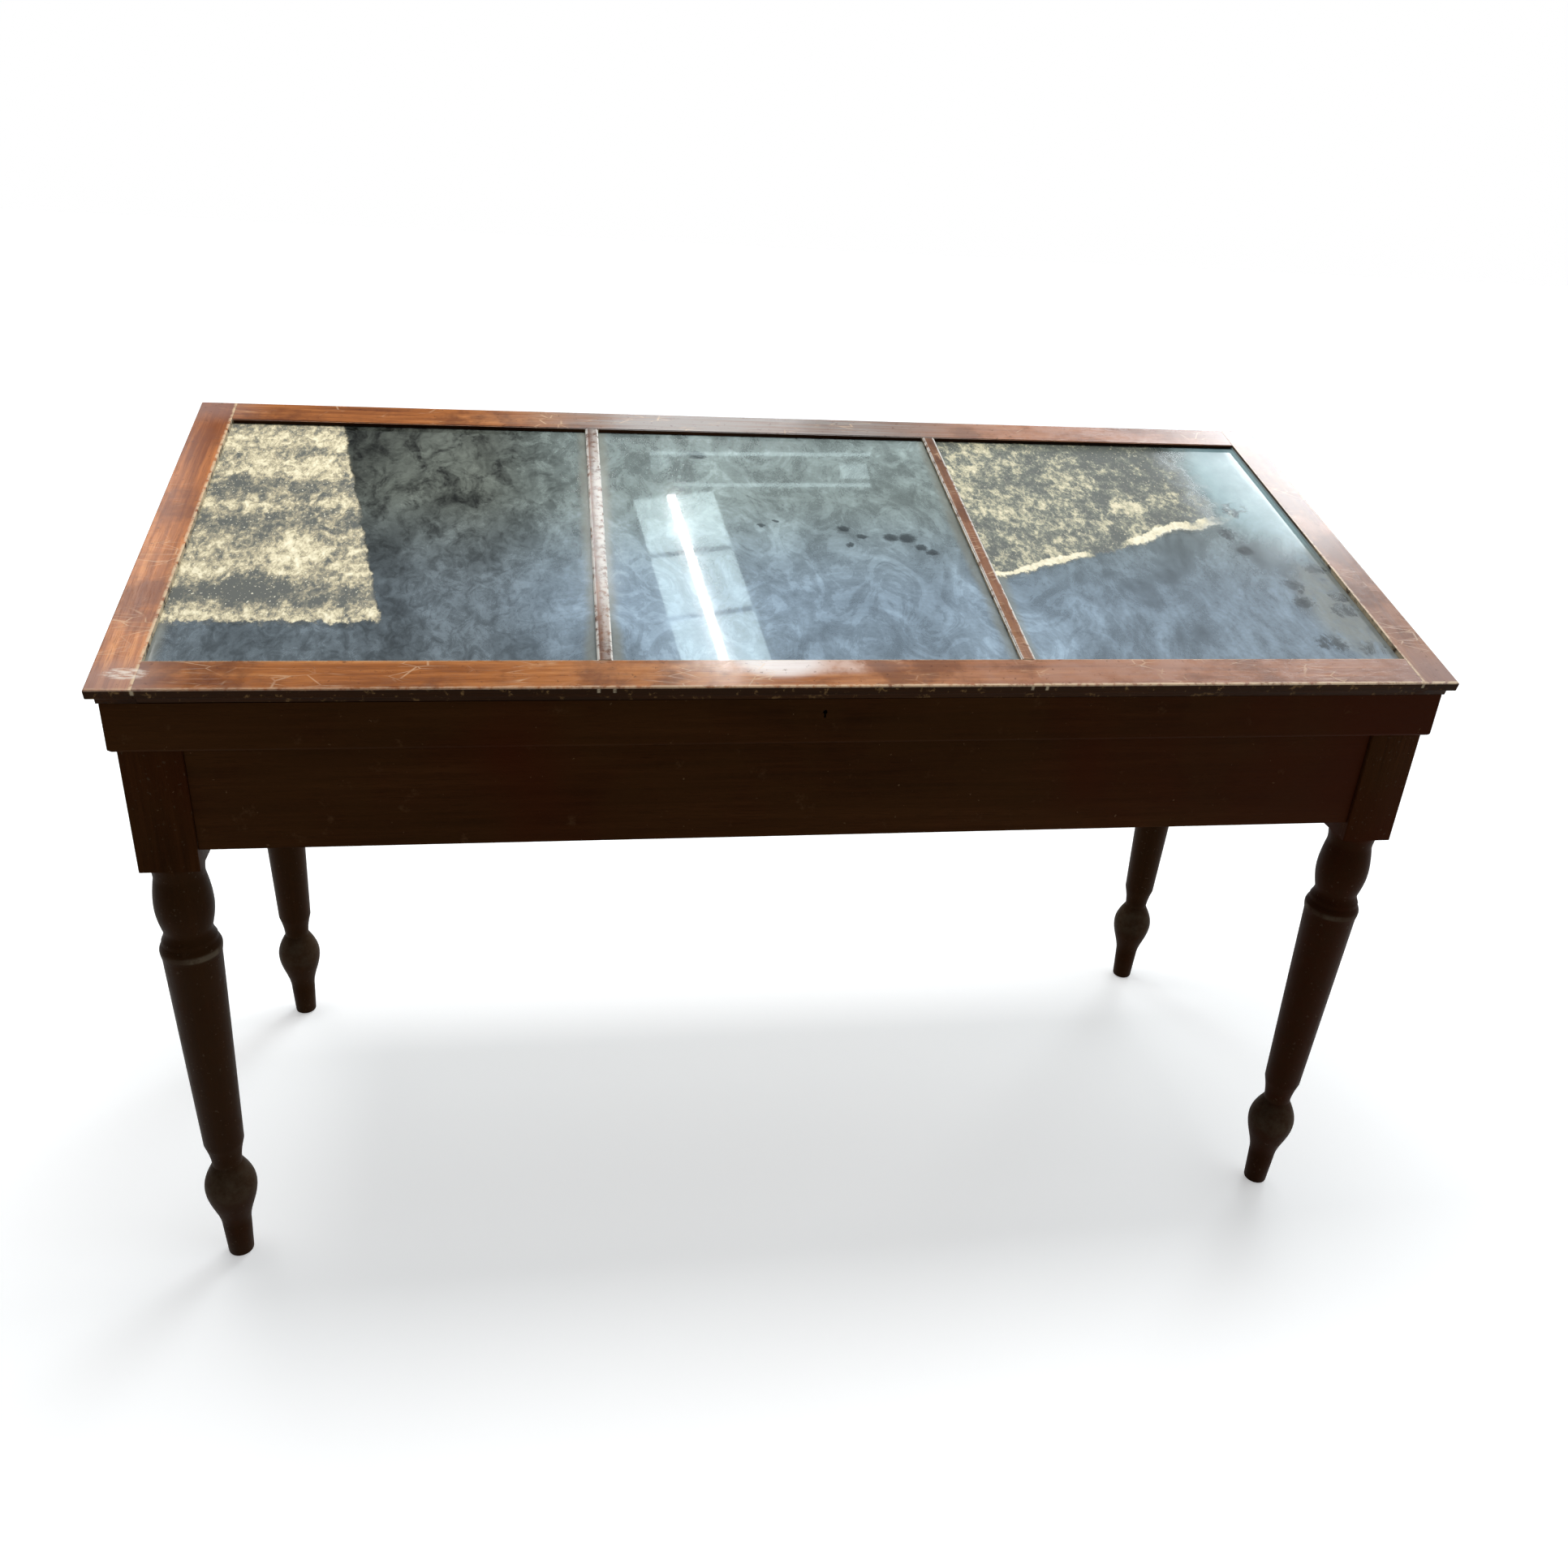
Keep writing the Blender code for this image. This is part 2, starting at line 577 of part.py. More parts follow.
for side, left in zip(("left", "right"), BAR_LEFTS):
    low = (left, SIGHT_FRONT + GAP, -LID_THICK)
    high = (left + BAR_WIDTH, SIGHT_BACK - GAP, 0.0)
    BARS.append(block(f"glazing_bar_{side}", low, high, LID_SLOPE_FRAME, LID_WOOD))

# Panes, set from below into rebates and held by beads
BEAD_TOP = GLASS_BOTTOM - GAP
GLASS_INSET = GLASS_LAP - GLASS_PLAY
for pane, left in zip(("left", "middle", "right"), SIGHT_LEFTS):
    right = left + SIGHT_WIDTH
    pocket_low = (left - GLASS_LAP, SIGHT_FRONT - GLASS_LAP, -LID_THICK - OVERRUN)
    pocket_high = (right + GLASS_LAP, SIGHT_BACK + GLASS_LAP, -LIP_THICK)
    pocket = block(f"pocket_{pane}", pocket_low, pocket_high, LID_SLOPE_FRAME)
    for piece in (STILE_LEFT, STILE_RIGHT, RAIL_FRONT, RAIL_BACK, *BARS):
        cut(piece, pocket)
    low = (left - GLASS_INSET, SIGHT_FRONT - GLASS_INSET, GLASS_BOTTOM)
    high = (right + GLASS_INSET, SIGHT_BACK + GLASS_INSET, GLASS_TOP)
    block(f"glass_{pane}", low, high, LID_SLOPE_FRAME, GLASS)
    wall_left, wall_right = left - GLASS_LAP + GAP, right + GLASS_LAP - GAP
    for depth, start in (("front", SIGHT_FRONT - GLASS_LAP + GAP), ("back", SIGHT_BACK)):
        low = (wall_left, start, -LID_THICK)
        high = (wall_right, start + GLASS_LAP - GAP, BEAD_TOP)
        block(f"bead_{pane}_{depth}", low, high, LID_SLOPE_FRAME, LID_WOOD)
    for side, start in (("left", wall_left), ("right", right)):
        low = (start, SIGHT_FRONT + GAP, -LID_THICK)
        high = (start + GLASS_LAP - GAP, SIGHT_BACK - GAP, BEAD_TOP)
        block(f"bead_{pane}_{side}", low, high, LID_SLOPE_FRAME, LID_WOOD)

# Butt hinges: the case leaf has the outer knuckles, and the lid leaf the middle one
KNUCKLE_END = HINGE_LENGTH / 2
KNUCKLE_SPLIT = HINGE_LENGTH / 6
LEAF_REACH = LEAF_WIDTH + KNUCKLE_RADIUS + GAP
LEAF_FRONT = HINGE_V - LEAF_REACH
BORE_RADIUS = PIN_RADIUS + GAP


def hinge_leaf(name, x, parent, low_w, high_w, own, other):
    """A leaf with its own knuckles, clear of the other leaf's, and bored for the pin."""
    low = (x - KNUCKLE_END, LEAF_FRONT, low_w)
    high = (x + KNUCKLE_END, HINGE_V, high_w)
    leaf = block(name, low, high, parent, BRASS)
    for i, (start, end) in enumerate(other):
        space = rod(f"{name}_space_{i}", KNUCKLE_RADIUS + GAP, x + start, x + end, HINGE_V, HINGE_W, parent)
        cut(leaf, space)
    for i, (start, end) in enumerate(own):
        join(leaf, rod(f"{name}_knuckle_{i}", KNUCKLE_RADIUS, x + start, x + end, HINGE_V, HINGE_W, parent))
    end = KNUCKLE_END + OVERRUN
    cut(leaf, rod(name + "_bore", BORE_RADIUS, x - end, x + end, HINGE_V, HINGE_W, parent))


def hinge(name, x):
    split, half_gap = KNUCKLE_SPLIT, GAP / 2
    outer = [(-KNUCKLE_END, -split - half_gap), (split + half_gap, KNUCKLE_END)]
    middle = [(half_gap - split, split - half_gap)]
    outer_space = [(-KNUCKLE_END - OVERRUN, half_gap - split), (split - half_gap, KNUCKLE_END + OVERRUN)]
    middle_space = [(-split - half_gap, split + half_gap)]
    case_high = HINGE_W - half_gap
    case_low = case_high - LEAF_THICK
    lid_low = HINGE_W + half_gap
    lid_high = lid_low + LEAF_THICK
    hinge_leaf(f"hinge_{name}_case_leaf", x, CASE_SLOPE, case_low, case_high, outer, middle_space)
    hinge_leaf(f"hinge_{name}_lid_leaf", x, LID_SLOPE_FRAME, lid_low, lid_high, middle, outer_space)
    start, end = x - KNUCKLE_END, x + KNUCKLE_END
    rod(f"hinge_{name}_pin", PIN_RADIUS, start, end, HINGE_V, HINGE_W, CASE_SLOPE, BRASS)
    start, end = start - GAP, end + GAP
    recess_back = HINGE_V + KNUCKLE_RADIUS
    low = (start, LEAF_FRONT - GAP, case_low - GAP)
    high = (end, recess_back, CASE_TOP + OVERRUN)
    cut(FRIEZES["back"], block(f"hinge_{name}_case_recess", low, high, CASE_SLOPE))
    low = (start, LEAF_FRONT - GAP, -LID_THICK - OVERRUN)
    high = (end, recess_back, lid_high + GAP)
    recess = block(f"hinge_{name}_lid_recess", low, high, LID_SLOPE_FRAME)
    clear = KNUCKLE_RADIUS + 2 * GAP
    notch = rod(f"hinge_{name}_notch", clear, start, end, HINGE_V, HINGE_W, LID_SLOPE_FRAME)
    cut(RAIL_BACK, recess, notch)


for name, place in (("left", -HINGE_SPREAD), ("middle", 0.0), ("right", HINGE_SPREAD)):
    hinge(name, place)

# Lock: case, face plate, bolt and strike
HALF_LOCK = LOCK_WIDTH / 2
HALF_BOLT = BOLT_WIDTH / 2
LOCK_BOTTOM = LOCK_TOP - LOCK_HEIGHT
LOCK_CASE = block(
    "lock_case",
    (-HALF_LOCK, LOCK_FRONT_Y, LOCK_BOTTOM),
    (HALF_LOCK, FRONT_INNER_Y - GAP, LOCK_TOP),
    CABINET,
    IRON,
)
BOLT = block(
    "lock_bolt",
    (-HALF_BOLT, -BOLT_THICK / 2, 0.0),
    (HALF_BOLT, BOLT_THICK / 2, BOLT_LENGTH),
    BOLT_GUIDE,
    IRON,
)
PLATE_BOTTOM = CASE_TOP - PLATE_THICK
HALF_PLATE = FACE_PLATE_WIDTH / 2
PLATE_LOW = (-HALF_PLATE, slope_v(FRONT_INNER_Y - FACE_PLATE_DEPTH, PLATE_BOTTOM), PLATE_BOTTOM)
PLATE_HIGH = (HALF_PLATE, slope_v(FRONT_INNER_Y - GAP, PLATE_BOTTOM), CASE_TOP)
FACE_PLATE = block("lock_face_plate", PLATE_LOW, PLATE_HIGH, CASE_SLOPE, BRASS)

CHANNEL = block(
    "bolt_channel",
    (-HALF_BOLT - GAP, BOLT_Y - BOLT_THICK / 2 - GAP, BOLT_BOTTOM - GAP),
    (HALF_BOLT + GAP, BOLT_Y + BOLT_THICK / 2 + GAP, BOLT_TOP + OVERRUN),
    CABINET,
)
LOCK_POCKET = block(
    "lock_pocket",
    (-HALF_LOCK - GAP, LOCK_FRONT_Y - GAP, LOCK_BOTTOM - GAP),
    (HALF_LOCK + GAP, FRONT_INNER_Y + OVERRUN, LOCK_TOP + OVERRUN),
    CABINET,
)
PLATE_RECESS = block(
    "face_plate_recess",
    (PLATE_LOW[0] - GAP, PLATE_LOW[1] - GAP, PLATE_LOW[2] - GAP),
    (PLATE_HIGH[0] + GAP, PLATE_HIGH[1] + OVERRUN, PLATE_HIGH[2] + OVERRUN),
    CASE_SLOPE,
)


def keyhole():
    """A round hole with a slot under it, from the frieze's face through to the bolt."""
    depth = BOLT_Y - CASE_FRONT_Y + OVERRUN
    radius = KEYHOLE_RADIUS
    shape = bmesh.new()
    bmesh.ops.create_cone(
        shape, cap_ends=True, segments=HINGE_SIDES, radius1=radius, radius2=radius, depth=depth
    )
    turn = Matrix.Rotation(QUARTER_TURN, 3, "X")
    bmesh.ops.rotate(shape, cent=(0.0, 0.0, 0.0), matrix=turn, verts=shape.verts)
    mesh = bpy.data.meshes.new("keyhole")
    shape.to_mesh(mesh)
    shape.free()
    hole = add("keyhole", mesh, CABINET)
    start, end = CASE_FRONT_Y - OVERRUN, CASE_FRONT_Y - OVERRUN + depth
    hole.location = (0.0, (start + end) / 2, KEYHOLE_Z)
    half = KEYHOLE_SLOT_WIDTH / 2
    slot = block(
        "keyhole_slot", (-half, start, KEYHOLE_Z - KEYHOLE_SLOT_LENGTH), (half, end, KEYHOLE_Z), CABINET
    )
    return hole, slot


KEYHOLE = keyhole()
TALON = block(
    "bolt_talon",
    (-TALON_WIDTH / 2, -BOLT_THICK, -OVERRUN),
    (TALON_WIDTH / 2, 0.0, KEYHOLE_Z - BOLT_BOTTOM + KEYHOLE_RADIUS),
    BOLT_GUIDE,
)
cut(LOCK_CASE, CHANNEL, *KEYHOLE)
cut(BOLT, TALON)
cut(FACE_PLATE, CHANNEL)
cut(FRIEZES["front"], LOCK_POCKET, PLATE_RECESS, *KEYHOLE)

STRIKE_TOP = PLATE_THICK - LID_THICK
STRIKE_MIDDLE = slope_v(BOLT_Y, -LID_THICK)
HALF_STRIKE = STRIKE_WIDTH / 2
STRIKE_LOW = (-HALF_STRIKE, STRIKE_MIDDLE - STRIKE_DEPTH / 2, -LID_THICK)
STRIKE_HIGH = (HALF_STRIKE, STRIKE_MIDDLE + STRIKE_DEPTH / 2, STRIKE_TOP)
STRIKE = block("strike_plate", STRIKE_LOW, STRIKE_HIGH, LID_SLOPE_FRAME, BRASS)
STRIKE_RECESS = block(
    "strike_recess",
    (STRIKE_LOW[0] - GAP, STRIKE_LOW[1] - GAP, STRIKE_LOW[2] - OVERRUN),
    (STRIKE_HIGH[0] + GAP, STRIKE_HIGH[1] + GAP, STRIKE_HIGH[2] + GAP),
    LID_SLOPE_FRAME,
)
MORTISE_TOP = STRIKE_MORTISE - LID_THICK
STRIKE_SLOT = block(
    "strike_slot",
    (-HALF_BOLT - BOLT_PLAY, slope_v(BOLT_Y - BOLT_THICK / 2, -LID_THICK) - BOLT_PLAY, -LID_THICK - OVERRUN),
    (HALF_BOLT + BOLT_PLAY, slope_v(BOLT_Y + BOLT_THICK / 2, MORTISE_TOP) + BOLT_PLAY, MORTISE_TOP),
    LID_SLOPE_FRAME,
)
cut(RAIL_FRONT, STRIKE_RECESS, STRIKE_SLOT)
cut(STRIKE, STRIKE_SLOT)
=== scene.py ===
# %% [markdown]
# # A museum's table case
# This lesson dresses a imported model: a sloping, glazed table case from a museum, on a stand of four turned
# legs. The solids already have their places and joints. What is left for Blender is what the eye judges:
# eased edges, round turning, screws, old polish, dusty glass and a worn lining. Each one sits at the
# origin with its place in its mesh, so a texture that reads Object coordinates works in metres on the real
# cabinet.

# %% Load the frame
import math
from functools import partial

import bmesh
import bpy
from mathutils import Matrix, Vector, noise


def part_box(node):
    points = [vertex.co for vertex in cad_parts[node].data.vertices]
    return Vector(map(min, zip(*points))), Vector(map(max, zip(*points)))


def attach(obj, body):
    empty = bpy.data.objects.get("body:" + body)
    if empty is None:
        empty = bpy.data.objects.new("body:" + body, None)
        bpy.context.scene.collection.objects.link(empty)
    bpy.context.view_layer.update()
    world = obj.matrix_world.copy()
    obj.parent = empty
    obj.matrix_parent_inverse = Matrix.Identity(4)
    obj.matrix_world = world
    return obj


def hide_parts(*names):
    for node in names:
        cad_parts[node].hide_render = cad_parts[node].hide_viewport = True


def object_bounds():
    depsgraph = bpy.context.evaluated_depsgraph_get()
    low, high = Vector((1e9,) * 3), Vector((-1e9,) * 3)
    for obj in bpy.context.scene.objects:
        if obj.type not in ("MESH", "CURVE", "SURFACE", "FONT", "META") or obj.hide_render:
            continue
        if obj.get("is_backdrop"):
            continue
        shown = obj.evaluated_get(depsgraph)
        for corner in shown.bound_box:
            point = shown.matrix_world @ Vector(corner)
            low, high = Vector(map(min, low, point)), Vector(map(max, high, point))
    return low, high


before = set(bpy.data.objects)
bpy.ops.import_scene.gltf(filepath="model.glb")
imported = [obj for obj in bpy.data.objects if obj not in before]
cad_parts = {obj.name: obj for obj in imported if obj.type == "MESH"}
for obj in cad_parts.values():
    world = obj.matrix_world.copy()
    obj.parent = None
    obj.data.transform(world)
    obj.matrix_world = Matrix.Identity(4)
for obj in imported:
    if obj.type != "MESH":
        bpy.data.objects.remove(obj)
cad_low, cad_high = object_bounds()
scene = bpy.context.scene
print("box in mm:", [round(1000 * side) for side in cad_high - cad_low])

# %% [markdown]
# The lid slopes, and most of its detail is easier to place on the slope than in the room. So one matrix
# holds the slope's own axes: u runs along the front edge, v runs up the slope, and w stands square to it.
# The start of these axes is the middle of the lid's front top edge.

# %% The slope's own axes
SLOPE = math.radians(14.7)
SLOPE_START = (0.0, -0.3110483, 0.812)
ON_SLOPE = Matrix.Translation(SLOPE_START) @ Matrix.Rotation(SLOPE, 4, "X")


def slope_box(node):
    """Lowest and highest corner of a CAD node along the slope's axes."""
    points = [ON_SLOPE.inverted() @ vert.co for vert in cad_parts[node].data.vertices]
    low = Vector(min(p[axis] for p in points) for axis in range(3))
    high = Vector(max(p[axis] for p in points) for axis in range(3))
    return low, high


lid_low, lid_high = slope_box("lid_stile_left")
LID_LENGTH = lid_high.y - lid_low.y
LID_WIDTH = cad_high.x - cad_low.x
print("lid in mm:", round(1000 * LID_WIDTH), "along,", round(1000 * LID_LENGTH), "up the slope")

# %% [markdown]
# ## Camera
# The photograph was taken by someone standing to the left of the middle, with the camera tipped down and
# turned a little. The turn is built from three plain rotations: yaw about the upright, pitch from straight
# down up to the view, and roll about the line of sight.

# %% Camera
CAMERA_PLACE = (-0.2899, -1.6289, 1.3629)
YAW, PITCH, ROLL = (math.radians(angle) for angle in (10.58, 26.53, 3.77))
QUARTER = math.pi / 2


def in_scene(name, data):
    """A new object in the scene."""
    made = bpy.data.objects.new(name, data)
    scene.collection.objects.link(made)
    return made


camera = in_scene("camera", bpy.data.cameras.new("camera"))
turned_down = Matrix.Rotation(QUARTER - PITCH, 4, "X") @ Matrix.Rotation(ROLL, 4, "Z")
camera.matrix_world = Matrix.Translation(CAMERA_PLACE) @ Matrix.Rotation(-YAW, 4, "Z") @ turned_down
camera.data.sensor_fit = "HORIZONTAL"
camera.data.sensor_width = 36.0
camera.data.lens = 30.54
scene.camera = camera
print("camera stands", round(1000 * CAMERA_PLACE[2]), "mm up")

# %% [markdown]
# ## Sums in a node tree
# Every finish, and the light of the room too, is a sum of simple fields: noise, distance from an edge,
# height. Wiring such sums by hand takes many Math nodes. A small class lets the script write them as
# plain arithmetic, and each sum adds its node to the tree.

# %% Sums in a node tree


def put(tree, kind, inputs=None, **settings):
    """A node with its settings. Inputs are set to a value, or linked from a field, a socket or a node."""
    made = tree.nodes.new(kind)
    for name, value in settings.items():
        setattr(made, name, value)
    for key, value in (inputs or {}).items():
        value = getattr(value, "socket", value)
        if isinstance(value, bpy.types.Node):
            value = value.outputs[0]
        if isinstance(value, bpy.types.NodeSocket):
            tree.links.new(value, made.inputs[key])
        else:
            made.inputs[key].default_value = value
    return made


class Field:
    """A value of a node tree that can be used in sums like a number."""

    def __init__(self, socket):
        self.socket = socket
        self.tree = socket.id_data

    def sum(self, operation, *others):
        inputs = dict(enumerate((self, *others)))
        return field(self.tree, "ShaderNodeMath", inputs, operation=operation)

    def __add__(self, other):
        return self.sum("ADD", other)

    def __sub__(self, other):
        return self.sum("SUBTRACT", other)

    def __mul__(self, other):
        return self.sum("MULTIPLY", other)

    def __truediv__(self, other):
        return self.sum("DIVIDE", other)

    def __abs__(self):
        return self.sum("ABSOLUTE")

    def either(self, other):
        """The larger of two fields."""
        return self.sum("MAXIMUM", other)

    def both(self, other):
        """The smaller of two fields."""
        return self.sum("MINIMUM", other)

    def parts(self):
        """The three numbers of a vector."""
        return [Field(out) for out in put(self.tree, "ShaderNodeSeparateXYZ", {0: self}).outputs]


def field(tree, kind, inputs=None, output=0, **settings):
    """A new node's output as a field."""
    return Field(put(tree, kind, inputs, **settings).outputs[output])


def step(value, low, high, to_low=0.0, to_high=1.0):
    """A smooth step of a field from one range into another."""
    inputs = {0: value, 1: low, 2: high, 3: to_low, 4: to_high}
    return field(value.tree, "ShaderNodeMapRange", inputs, interpolation_type="SMOOTHSTEP")


def fade(value, low, high):
    """1 up to a place, falling smoothly to 0 at the next."""
    return step(value, low, high, 1.0, 0.0)


def near(value, place, reach):
    """1 at a place along an axis, falling smoothly to 0 at its reach."""
    return fade(abs(value - place), 0.25 * reach, reach)


# %% [markdown]
# ## Light and floor
# The room is dim in front and bright above and behind, with daylight from the right, so the lid shines and
# the front stays dark. The lamps hang flat, like ceiling lights. The glass mirrors one slim lamp as a
# bright line in a pale panel, which is what tells the eye that the dusty sheet is glass. A second slim
# lamp glints on the left glazing bar, and thin tubes show at the back of the middle pane.
# The world is a soft gradient that brightens to the right, with a window in it that lights up the back
# right corner of the lid. To the camera it is white, and so are reflections of what lies near the horizon.
# The floor has a little glow of its own for the same rays. So the background is pale, while the object
# gets no extra light and its shadow stays on the floor.

# %% Light
scene.view_settings.view_transform = "Standard"


def camera_rays(tree):
    """1 for rays that come straight from the camera."""
    return field(tree, "ShaderNodeLightPath", output="Is Camera Ray")


def seen_rays(tree):
    """1 for rays from the camera, and for those that reflect or pass through glass."""
    rays = put(tree, "ShaderNodeLightPath").outputs
    mirrored, passed = Field(rays["Is Glossy Ray"]), Field(rays["Is Transmission Ray"])
    return camera_rays(tree).either(mirrored).either(passed)


def lamp(name, place, size, radiance, turn=0.0, colour=(1.0, 1.0, 1.0)):
    """A rectangular lamp that hangs flat and shines down, turned about the upright."""
    data = bpy.data.lights.new(name, "AREA")
    data.shape = "RECTANGLE"
    data.size, data.size_y = size
    data.energy = radiance * math.pi * size[0] * size[1]
    data.color = colour
    made = in_scene(name, data)
    made.matrix_world = Matrix.Translation(place) @ Matrix.Rotation(turn, 4, "Z")


WINDOW_SLANT = 0.816
world = bpy.data.worlds.new("studio")
world.use_nodes = True
scene.world = world
tree = world.node_tree
tree.nodes.clear()
right, back, up = field(tree, "ShaderNodeTexCoord", output="Generated").parts()
strength = step(right, 0.15, 0.85, 0.17, 1.5) * step(back, -0.6, 0.5, 0.62, 1.0)
across = right + back * WINDOW_SLANT
window = step(across, 0.9982, 0.9998, 0.0, 4.6) + step(across, 0.974, 0.998, 0.0, 2.4)
window = window + step(across, 1.003, 1.012, 0.0, 1.1) * step(back, 0.600, 0.630)
strength = strength + window * step(back, 0.594, 0.604) * step(up, 0.30, 0.42)
room = put(tree, "ShaderNodeBackground", {"Color": (0.92, 0.97, 1.0, 1.0), "Strength": strength})
white = put(tree, "ShaderNodeBackground", {"Color": (1.0, 1.0, 1.0, 1.0), "Strength": 1.0})
low_sky = seen_rays(tree) * fade(up, 0.22, 0.38)
backdrop = camera_rays(tree).either(low_sky)
mixed = put(tree, "ShaderNodeMixShader", {0: backdrop, 1: room, 2: white})
put(tree, "ShaderNodeOutputWorld", {"Surface": mixed})

CEILING = 2.60
SLIM_RADIANCE = 26.0
PANEL_TURN, TUBE_TURN = math.radians(9.75), math.radians(1.5)
PANEL_MIDDLE, PANEL_STEP = Vector((0.128, 1.506, 2.62)), 0.25
PANEL_BLUE = (0.77, 0.98, 1.0)
TUBES = [
    ("tube_lamp_near", (0.385, 1.90), (0.63, 0.016), 3.6),
    ("tube_lamp_middle", (0.36, 2.04), (0.72, 0.016), 3.6),
    ("tube_end_lamp_left", (0.03, 1.99), (0.06, 0.05), 1.8),
    ("tube_end_lamp_right", (0.655, 1.97), (0.09, 0.07), 2.4),
]
lamp("overhead_lamp", (-0.2, 0.36, 3.2), (2.6, 1.2), 7.4)
lamp("strip_lamp", (0.122, 1.4665, CEILING), (0.025, 0.774), SLIM_RADIANCE, PANEL_TURN)
lamp("strip_glow_lamp", (0.122, 1.4665, 2.61), (0.060, 0.80), 1.1, PANEL_TURN)
lamp("side_strip_lamp", (-0.1685, 1.66, CEILING), (0.024, 0.56), SLIM_RADIANCE, math.radians(0.8))
for i in (-1, 0, 1):
    middle = PANEL_MIDDLE + Matrix.Rotation(PANEL_TURN, 3, "Z") @ Vector((0.0, PANEL_STEP * i, 0.0))
    lamp(f"panel_lamp_{i + 2}", middle, (0.256, 0.231), 4.8, PANEL_TURN, PANEL_BLUE)
lamp("left_panel_lamp", (-1.48, 1.62, CEILING), (0.24, 1.1), 2.2)
for name, (x, y), size, radiance in TUBES:
    lamp(name, (x, y, CEILING), size, radiance, TUBE_TURN, PANEL_BLUE)
lamp("tube_lamp_far", (0.20, 2.20, CEILING), (0.62, 0.12), 5.2)
print("lamps:", len(bpy.data.lights))

# %% Floor
FLOOR_SPAN = 30.0
FLOOR_DROP = 0.0005


def mesh_of(shape, name):
    """A mesh with a shape's faces. The shape is let go."""
    mesh = bpy.data.meshes.new(name)
    shape.to_mesh(mesh)
    shape.free()
    return mesh


shape = bmesh.new()
bmesh.ops.create_grid(shape, x_segments=1, y_segments=1, size=FLOOR_SPAN / 2)
floor_mesh = mesh_of(shape, "studio_floor")
studio_floor = in_scene("studio_floor", floor_mesh)
studio_floor.location.z = -FLOOR_DROP
floor_paint = bpy.data.materials.new("floor_paint")
floor_paint.use_nodes = True
tree = floor_paint.node_tree
tree.nodes.clear()
place = field(tree, "ShaderNodeTexCoord", output="Object")
distance = field(tree, "ShaderNodeVectorMath", {0: place}, output="Value", operation="LENGTH")
glow = seen_rays(tree) * step(distance, 0.8, 4.5, 0.40, 0.74)
paint = put(tree, "ShaderNodeBsdfDiffuse", {"Color": (0.86, 0.86, 0.86, 1.0)})
glowing = put(tree, "ShaderNodeEmission", {"Strength": glow})
both = put(tree, "ShaderNodeAddShader", {0: paint, 1: glowing})
put(tree, "ShaderNodeOutputMaterial", {"Surface": both})
floor_mesh.materials.append(floor_paint)
studio_floor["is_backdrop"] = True
print("floor in m:", FLOOR_SPAN)

# %% [markdown]
# ## Helpers for finishes
# Every finish here is one Principled shader fed by noise. A handful of small helpers keeps the trees short:
# a fresh material, stretched and turned coordinates, a cloud of noise, a colour band and layers of colour.

# %% Helpers for finishes


def fresh(name):
    """A new material, its shader and its Object coordinates."""
    material = bpy.data.materials.new(name)
    material.use_nodes = True
    tree = material.node_tree
    return material, tree.nodes["Principled BSDF"], field(tree, "ShaderNodeTexCoord", output="Object")


def mapped(place, scale=(1.0, 1.0, 1.0), turn=(0.0, 0.0, 0.0), shift=(0.0, 0.0, 0.0)):
    inputs = {"Vector": place, "Scale": scale, "Rotation": turn, "Location": shift}
    return field(place.tree, "ShaderNodeMapping", inputs)


def along_slope(place):
    """Object coordinates turned into the slope's own u, v and w."""
    inputs = {"Vector": place, "Location": SLOPE_START, "Rotation": (SLOPE, 0.0, 0.0)}
    return field(place.tree, "ShaderNodeMapping", inputs, vector_type="TEXTURE")


def cloud(place, scale=1.0, detail=4.0, roughness=0.6, distortion=0.0):
    inputs = {"Vector": place, "Scale": scale, "Detail": detail, "Roughness": roughness}
    inputs["Distortion"] = distortion
    return field(place.tree, "ShaderNodeTexNoise", inputs)


def mix(factor, first, second, blend="MIX"):
    """Two colours mixed. The first is a field, and the second a field or three numbers."""
    if isinstance(second, tuple):
        second = (*second, 1.0)
    inputs = {0: factor, 6: first, 7: second}
    return field(first.tree, "ShaderNodeMix", inputs, output=2, data_type="RGBA", blend_type=blend)


def layered(colour, *layers):
    """A colour with others laid over it in turn, each given as its share and its colour."""
    for share, over in layers:
        colour = mix(share, colour, over)
    return colour


def shaded(colour, strength):
    """A colour made darker or lighter by a field."""
    grey = put(colour.tree, "ShaderNodeCombineColor", {0: strength, 1: strength, 2: strength})
    return mix(1.0, colour, grey, "MULTIPLY")


def ramp(value, *stops):
    """A colour band with (place, colour) stops."""
    made = put(value.tree, "ShaderNodeValToRGB", {0: value})
    while len(made.color_ramp.elements) < len(stops):
        made.color_ramp.elements.new(1.0)
    for element, (place, colour) in zip(made.color_ramp.elements, stops):
        element.position = place
        element.color = (*colour, 1.0)
    return Field(made.outputs[0])


def feed(shader, **sockets):
    """Sets or links the shader's inputs, with spaces in their names as underscores."""
    for name, value in sockets.items():
        socket = shader.inputs[name.replace("_", " ")]
        if isinstance(value, Field):
            value.tree.links.new(value.socket, socket)
        else:
            socket.default_value = value


def bump(shader, height, strength, depth):
    inputs = {"Height": height, "Strength": strength, "Distance": depth}
    feed(shader, Normal=field(height.tree, "ShaderNodeBump", inputs))


# %% [markdown]
# ## Mahogany
# Mahogany shows long, slow bands of colour, finer streaks inside them and short dark pores. All three are
# noise that is stretched along the grain. The grain follows each board's length, so the wood comes in one
# version for each direction: the noise is laid along X, and a Mapping node turns the board's length there.
# The lid has the old bright polish, and the case and the legs are far darker.

# %% Mahogany
GRAIN_TURNS = {"x": (0.0, 0.0, 0.0), "y": (0.0, 0.0, -QUARTER), "z": (0.0, QUARTER, 0.0)}


